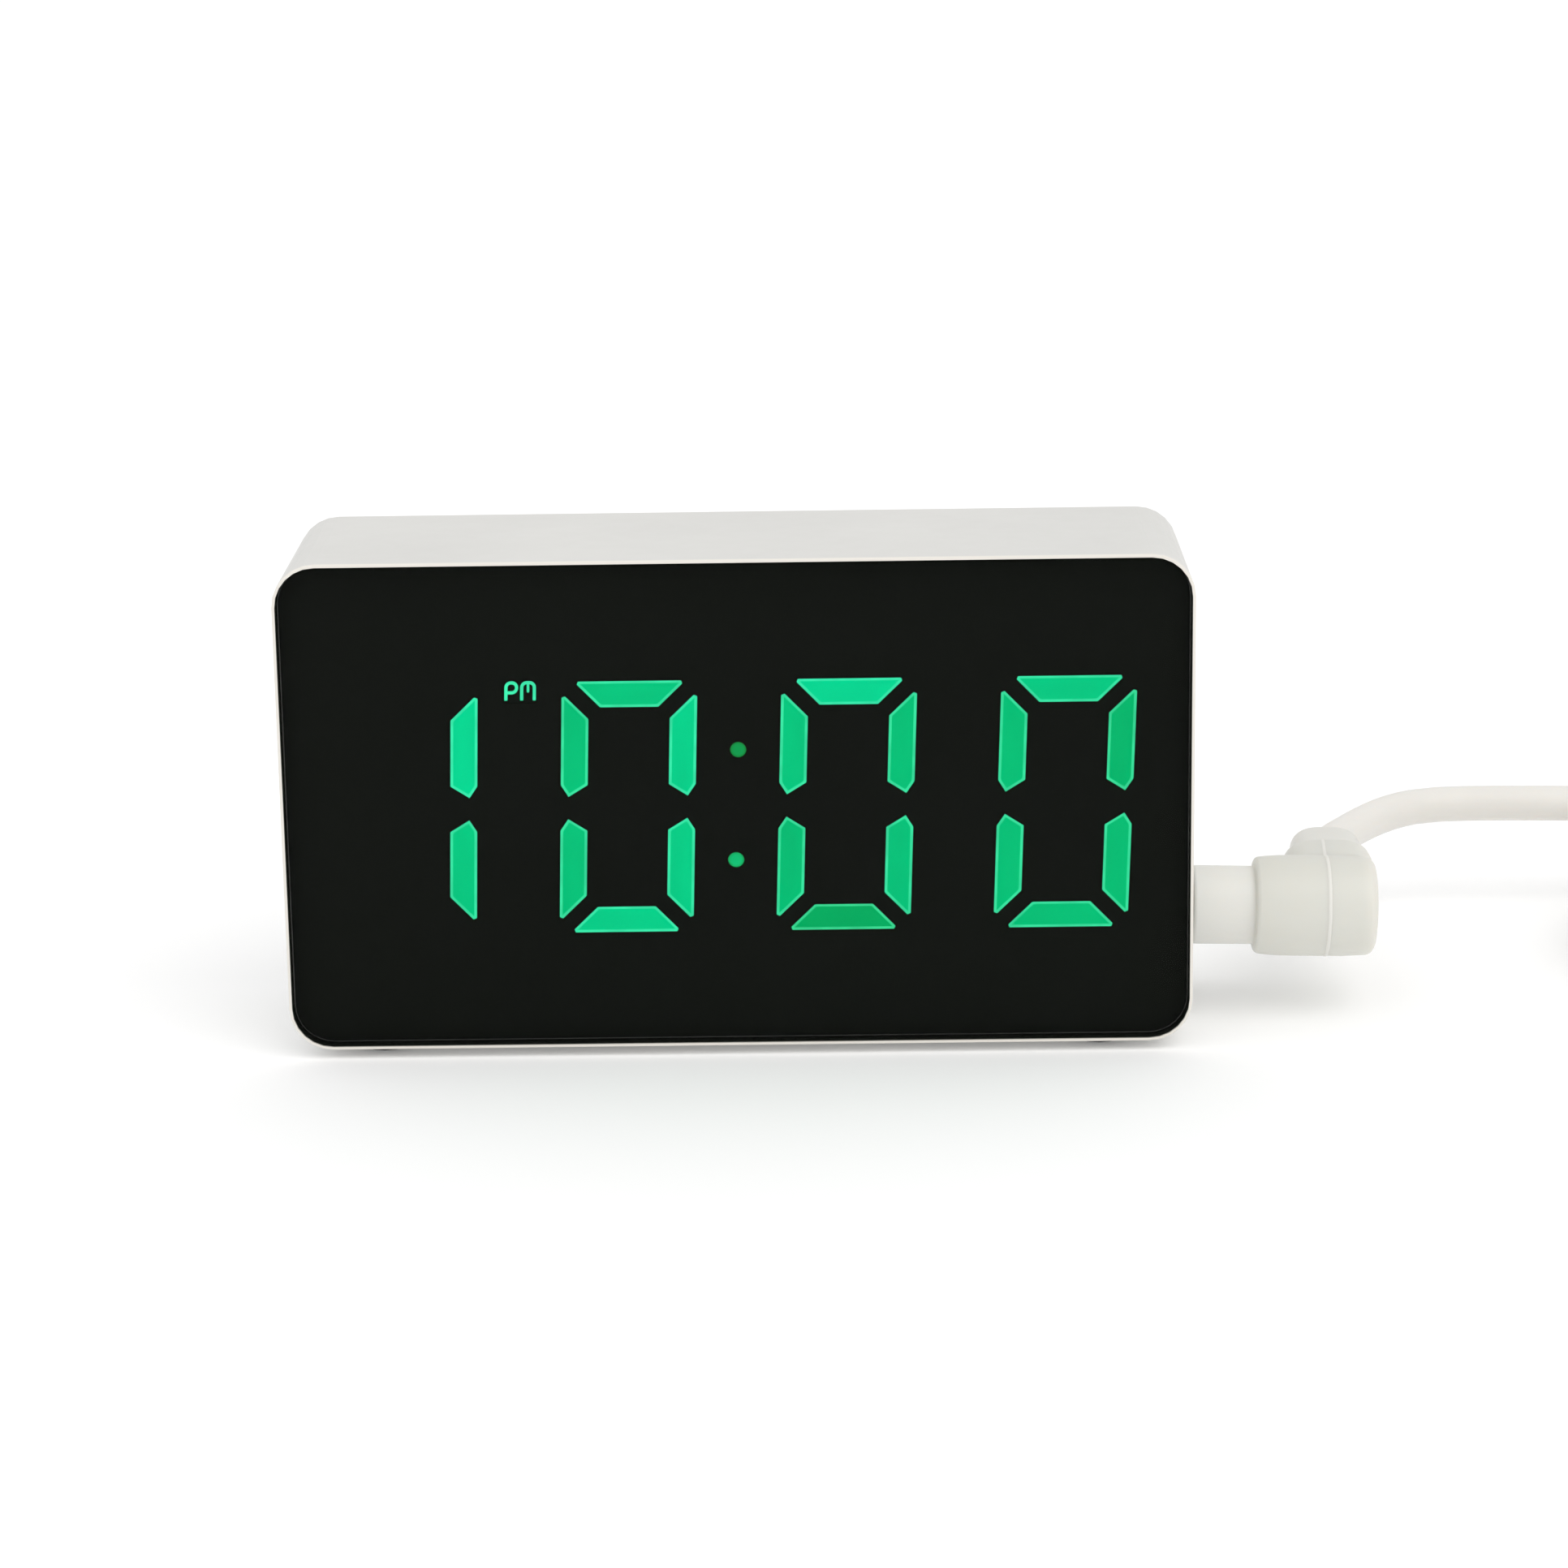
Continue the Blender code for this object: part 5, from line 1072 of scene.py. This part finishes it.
def make_colon():
    field = bmesh.new()
    prism(field, node_outline("colon_guide"), WEB_FRONT, WEB_BACK)
    piece = guide("colon_field", field, UNLIT)
    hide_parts("colon_guide")
    for name, sign, green in (("upper", 1, 0.30), ("lower", -1, 0.49)):
        outline = disc(colon_place(sign), COLON_RADIUS)
        colour, rim_colour = led_colour(green, 0.05), led_colour(green * 0.8, 0.08)
        face = glow(f"colon_{name}_light", colour, PANEL_LOSS, 0.08)
        rim = glow(f"colon_{name}_rim", rim_colour, PANEL_LOSS, 0.05)
        make_light(f"colon_{name}", outline, 0.2 * MM, 0.1 * MM, face, rim)


def band(points, width):
    """Outline of a band of one width along an open line of (x, z) points."""
    left, right = [], []
    for here, way in with_ways(points):
        side = Vector((-way.y, way.x)) * (width / 2)
        left.append(tuple(here + side))
        right.append(tuple(here - side))
    return left + right[::-1]


def round_bar(start, end, width, steps=6):
    """Outline of a straight bar with round ends."""
    first, last = Vector(start), Vector(end)
    turn = math.degrees(math.atan2(last.y - first.y, last.x - first.x))
    ends = corner_arc(last, width / 2, turn - 90, turn + 90, steps)
    return ends + corner_arc(first, width / 2, turn + 90, turn + 270, steps)


MARK_WIDTH = 0.32 * MM
MARK_ROUND = 0.5 * MM
MARK_HALF = 0.92 * MM
MARK_X = -21.85 * MM
MARK_Z = DISPLAY_Z + 12.25 * MM


def mark_outlines():
    """The letters P and M as bands: the P's stem and bowl, the M's arch and middle stroke."""
    bottom, top, fold = -MARK_HALF, MARK_HALF, MARK_ROUND
    p_left, p_right, p_bar = -1.36 * MM, -0.28 * MM, -0.12 * MM
    m_left, m_right, m_drop = 0.24 * MM, 1.52 * MM, 0.02 * MM
    m_middle = (m_left + m_right) / 2
    bowl = [(p_left, bottom), (p_left, top - fold)]
    bowl += corner_arc((p_left + fold, top - fold), fold, 180, 90)
    bowl += corner_arc((p_right - fold, top - fold), fold, 90, 0)
    bowl += corner_arc((p_right - fold, p_bar + fold), fold, 0, -90)
    bowl += [(p_left + MARK_WIDTH / 2, p_bar)]
    arch = [(m_left, bottom), (m_left, top - fold)]
    arch += corner_arc((m_left + fold, top - fold), fold, 180, 90)
    arch += corner_arc((m_right - fold, top - fold), fold, 90, 0)
    arch += [(m_right, bottom)]
    middle = round_bar((m_middle, top), (m_middle, m_drop), MARK_WIDTH * 0.8)
    return [band(bowl, MARK_WIDTH), band(arch, MARK_WIDTH), middle]


def make_pm_mark():
    """The lit letters of the afternoon mark, on the guide's dark block."""
    work = bmesh.new()
    prism(work, node_outline("pm_guide"), WEB_FRONT, WEB_BACK)
    pad = rounded(MARK_X, MARK_Z, 3.6 * MM, 2.5 * MM, 0.3 * MM)
    prism(work, pad, GUIDE_FRONT + 0.06 * MM, WEB_FRONT)
    field = guide("pm_field", work, UNLIT)
    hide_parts("pm_guide")
    light = glow("pm_light", (0.055, 0.90, 0.45), PANEL_LOSS, 0.10)
    lean = math.tan(DIGIT_SLANT)
    for name, outline in zip(("pm_p", "pm_m", "pm_m_middle"), mark_outlines()):
        placed = [(MARK_X + x + z * lean, MARK_Z + z) for x, z in outline]
        guide(name, flat_shape(name, [placed], GUIDE_FRONT, GUIDE_FRONT + 0.05 * MM), light)


def make_stencil():
    """Black print on the back of the panel, with a clear window for each thing that lights."""
    width, height = LENS_HIGH.x - LENS_LOW.x, LENS_HIGH.z - LENS_LOW.z
    edge = 0.1 * MM
    loops = [rounded(0, MIDDLE_Z, width - 2 * edge, height - 2 * edge, PANEL_RADIUS - edge)]
    outlines = segment_outlines()
    for index, (name, lit) in enumerate(DIGITS):
        loops += [slanted(outlines[key], (index - 1.5) * DIGIT_PITCH) for key in lit]
    loops += [disc(colon_place(sign), COLON_RADIUS) for sign in (1, -1)]
    loops += [rounded(MARK_X, MARK_Z, 3.5 * MM, 2.4 * MM, 0.25 * MM)]
    mesh = flat_shape("panel_stencil", loops, STENCIL_FRONT, STENCIL_BACK)
    finish_piece("panel_stencil", mesh, "clock", STENCIL, 0)
    margin, deep = 0.03 * MM, 0.2 * MM
    paint = [
        rounded(0, MIDDLE_Z, width + 2 * grow, height + 2 * grow, PANEL_RADIUS + grow)
        for grow in (deep, margin)
    ]
    mesh = flat_shape("panel_edge_paint", paint, LENS_LOW.y + 0.25 * MM, STENCIL_BACK)
    finish_piece("panel_edge_paint", mesh, "clock", STENCIL, 0)


make_stencil()
make_digits()
make_colon()
make_pm_mark()

# ---- keys and marks on the back

COVER_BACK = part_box("rear_cover")[1].y
KEY_NAMES = ("time", "up", "down", "alarm")
ICON_X = 14.8 * MM
ICON_SIZE = 1.5 * MM
ICON_PROUD = 0.12 * MM
ICON_SUNK = 0.05 * MM
ARROW_DROP = 14.0 * MM


def key_place(name):
    low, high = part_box(name + "_button")
    return (low.x + high.x) / 2, (low.z + high.z) / 2


def make_keys():
    """Key caps: a flange behind the cover, a rounded rim and a shallow dish for the finger."""
    for name in KEY_NAMES:
        low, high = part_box(name + "_button")
        x, z = key_place(name)
        total = (high.y - low.y) / MM
        flange = (high.x - low.x) / 2 / MM
        cap = flange - 0.9
        profile = [
            (0.0, 0.0),
            (0.0, flange - 0.15),
            (0.15, flange),
            (0.65, flange),
            (0.8, flange - 0.15),
            (0.8, cap),
            *corner_arc((total - 0.45, cap - 0.45), 0.45, 90, 15),
            (total - 0.02, cap - 0.8),
            (total - 0.10, cap - 1.4),
            (total - 0.17, cap - 2.1),
            (total - 0.2, 0.0),
        ]
        mesh = turned(name + "_cap", profile, (x, low.y, z), (0, 1, 0))
        piece = finish_piece(name + "_cap", mesh, name + "_key", KEYS)
        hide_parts(name + "_button")


def moved(outline, x, z):
    return [(x + a * ICON_SIZE, z + b * ICON_SIZE) for a, b in outline]


def icon_loops():
    """Plain signs beside the keys, as outlines about their centres, one unit high and wide."""
    ring = [disc((0, 0), 1.0, 40), disc((0, 0), 0.82, 40)]
    hands = [[(-0.07, -0.07), (0.5, -0.07), (0.5, 0.07), (0.07, 0.07), (0.07, 0.6), (-0.07, 0.6)]]
    bell = corner_arc((0, 0.25), 0.5, 0, 180, 12)
    bell += [(-0.55, -0.3), (-0.8, -0.55), (0.8, -0.55), (0.55, -0.3)]
    knob = disc((0, 0.86), 0.13, 16)
    clapper = corner_arc((0, -0.68), 0.24, 180, 360, 12)
    up = [(-0.85, -0.55), (0.85, -0.55), (0, 0.75)]
    return {
        "time": [ring, hands],
        "up": [[up]],
        "down": [[[(x, -z) for x, z in up]]],
        "alarm": [[bell], [knob], [clapper]],
    }


def make_icons():
    """The signs beside the keys, and an arrow on the battery door."""
    span = (COVER_BACK - ICON_SUNK, COVER_BACK + ICON_PROUD)
    for name, groups in icon_loops().items():
        x, z = key_place(name)
        for index, loops in enumerate(groups):
            placed = [moved([(-a, b) for a, b in loop], ICON_X, z) for loop in loops]
            mesh = flat_shape(f"{name}_icon_{index}", placed, *span)
            finish_piece(f"{name}_icon_{index}", mesh, "clock", INK, 0)
    low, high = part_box("battery_door")
    x, z = (low.x + high.x) / 2, high.z - ARROW_DROP
    arrow = [(-1.0, -0.5), (1.0, -0.5), (0, 0.9)]
    shaft = [(-0.22, -1.6), (0.22, -1.6), (0.22, -0.62), (-0.22, -0.62)]
    for index, outline in enumerate((arrow, shaft)):
        mesh = flat_shape(f"door_arrow_{index}", [moved(outline, x, z)], *span)
        finish_piece(f"door_arrow_{index}", mesh, "door", SHELL, 0)


CELL_NUB_RADIUS = 1.9
CELL_NUB_LENGTH = 1.0
CELL_RIM = 0.3


def make_cells():
    """Three slim cells, the middle one turned round: rolled rims and a raised plus end."""
    for index in (1, 2, 3):
        low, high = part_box(f"battery_cell_{index}")
        radius, length = (high.z - low.z) / 2 / MM, (high.x - low.x) / MM
        body = length - CELL_NUB_LENGTH
        profile = [
            (0.12, 0.0),
            (0.12, radius - 1.5),
            *corner_arc((CELL_RIM, radius - 1.2), CELL_RIM, 180, 90, 3),
            *corner_arc((CELL_RIM, radius - CELL_RIM), CELL_RIM, 180, 90, 4),
            *corner_arc((body - CELL_RIM, radius - CELL_RIM), CELL_RIM, 90, 0, 4),
            (body, radius - 1.4),
            (body - 0.2, radius - 1.7),
            (body - 0.2, CELL_NUB_RADIUS + 0.4),
            (body, CELL_NUB_RADIUS),
            *corner_arc((length - CELL_RIM, CELL_NUB_RADIUS - CELL_RIM), CELL_RIM, 90, 0, 4),
            (length, 0.0),
        ]
        minus, plus = (high.x, low.x) if index == 2 else (low.x, high.x)
        start = (minus, (low.y + high.y) / 2, (low.z + high.z) / 2)
        way = (1, 0, 0) if plus > minus else (-1, 0, 0)
        name = f"cell_{index}"
        wrap = wrap_material(name + "_wrap", minus, plus)
        mesh = turned(name, profile, start, way, 72)
        piece = finish_piece(name, mesh, "clock", wrap)
        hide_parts(f"battery_cell_{index}")


make_keys()
make_icons()
make_cells()

# ---- floor and lights

WORLD_LIGHT = 0.78
FLOOR_LIFT = 0.1
FLOOR_SIZE = 14
FLOOR_TONES = ((0.925, 0.925, 0.925), (0.935, 0.935, 0.935))
SOFT_LIGHTS = (
    ("soft_key", (0.45, -0.50, 0.85), 0.85, 50, (1.0, 0.985, 0.965)),
    ("soft_fill", (-0.60, -0.25, 0.70), 0.35, 70, (0.97, 0.98, 1.0)),
)


def make_stage():
    """Plain pale floor under an even white sky, with two broad soft suns."""
    work = bmesh.new()
    bmesh.ops.create_grid(work, x_segments=2, y_segments=2, size=FLOOR_SIZE)
    mesh = to_mesh(work, "floor")
    floor = bpy.data.objects.new("floor", mesh)
    scene.collection.objects.link(floor)
    graph = Graph("pale_floor")
    graph.set(color=(0.93, 0.93, 0.93, 1), rough=0.9, specular=0.0)
    graph.set(glow=(1, 1, 1, 1), strength=FLOOR_LIFT)
    graph.link(graph.ramp(graph.noise(3, 2.0), *FLOOR_TONES), "Base Color")
    mesh.materials.append(graph.material)

    world = bpy.data.worlds.new("studio")
    world.use_nodes = True
    sky = world.node_tree.nodes["Background"]
    sky.inputs["Color"].default_value = (1, 1, 1, 1)
    sky.inputs["Strength"].default_value = WORLD_LIGHT
    scene.world = world

    for name, way, energy, angle, colour in SOFT_LIGHTS:
        data = bpy.data.lights.new(name, "SUN")
        data.energy = energy
        data.angle = math.radians(angle)
        data.color = colour
        lamp = bpy.data.objects.new(name, data)
        lamp.matrix_world = Vector(way).to_track_quat("Z", "Y").to_matrix().to_4x4()
        scene.collection.objects.link(lamp)


make_stage()
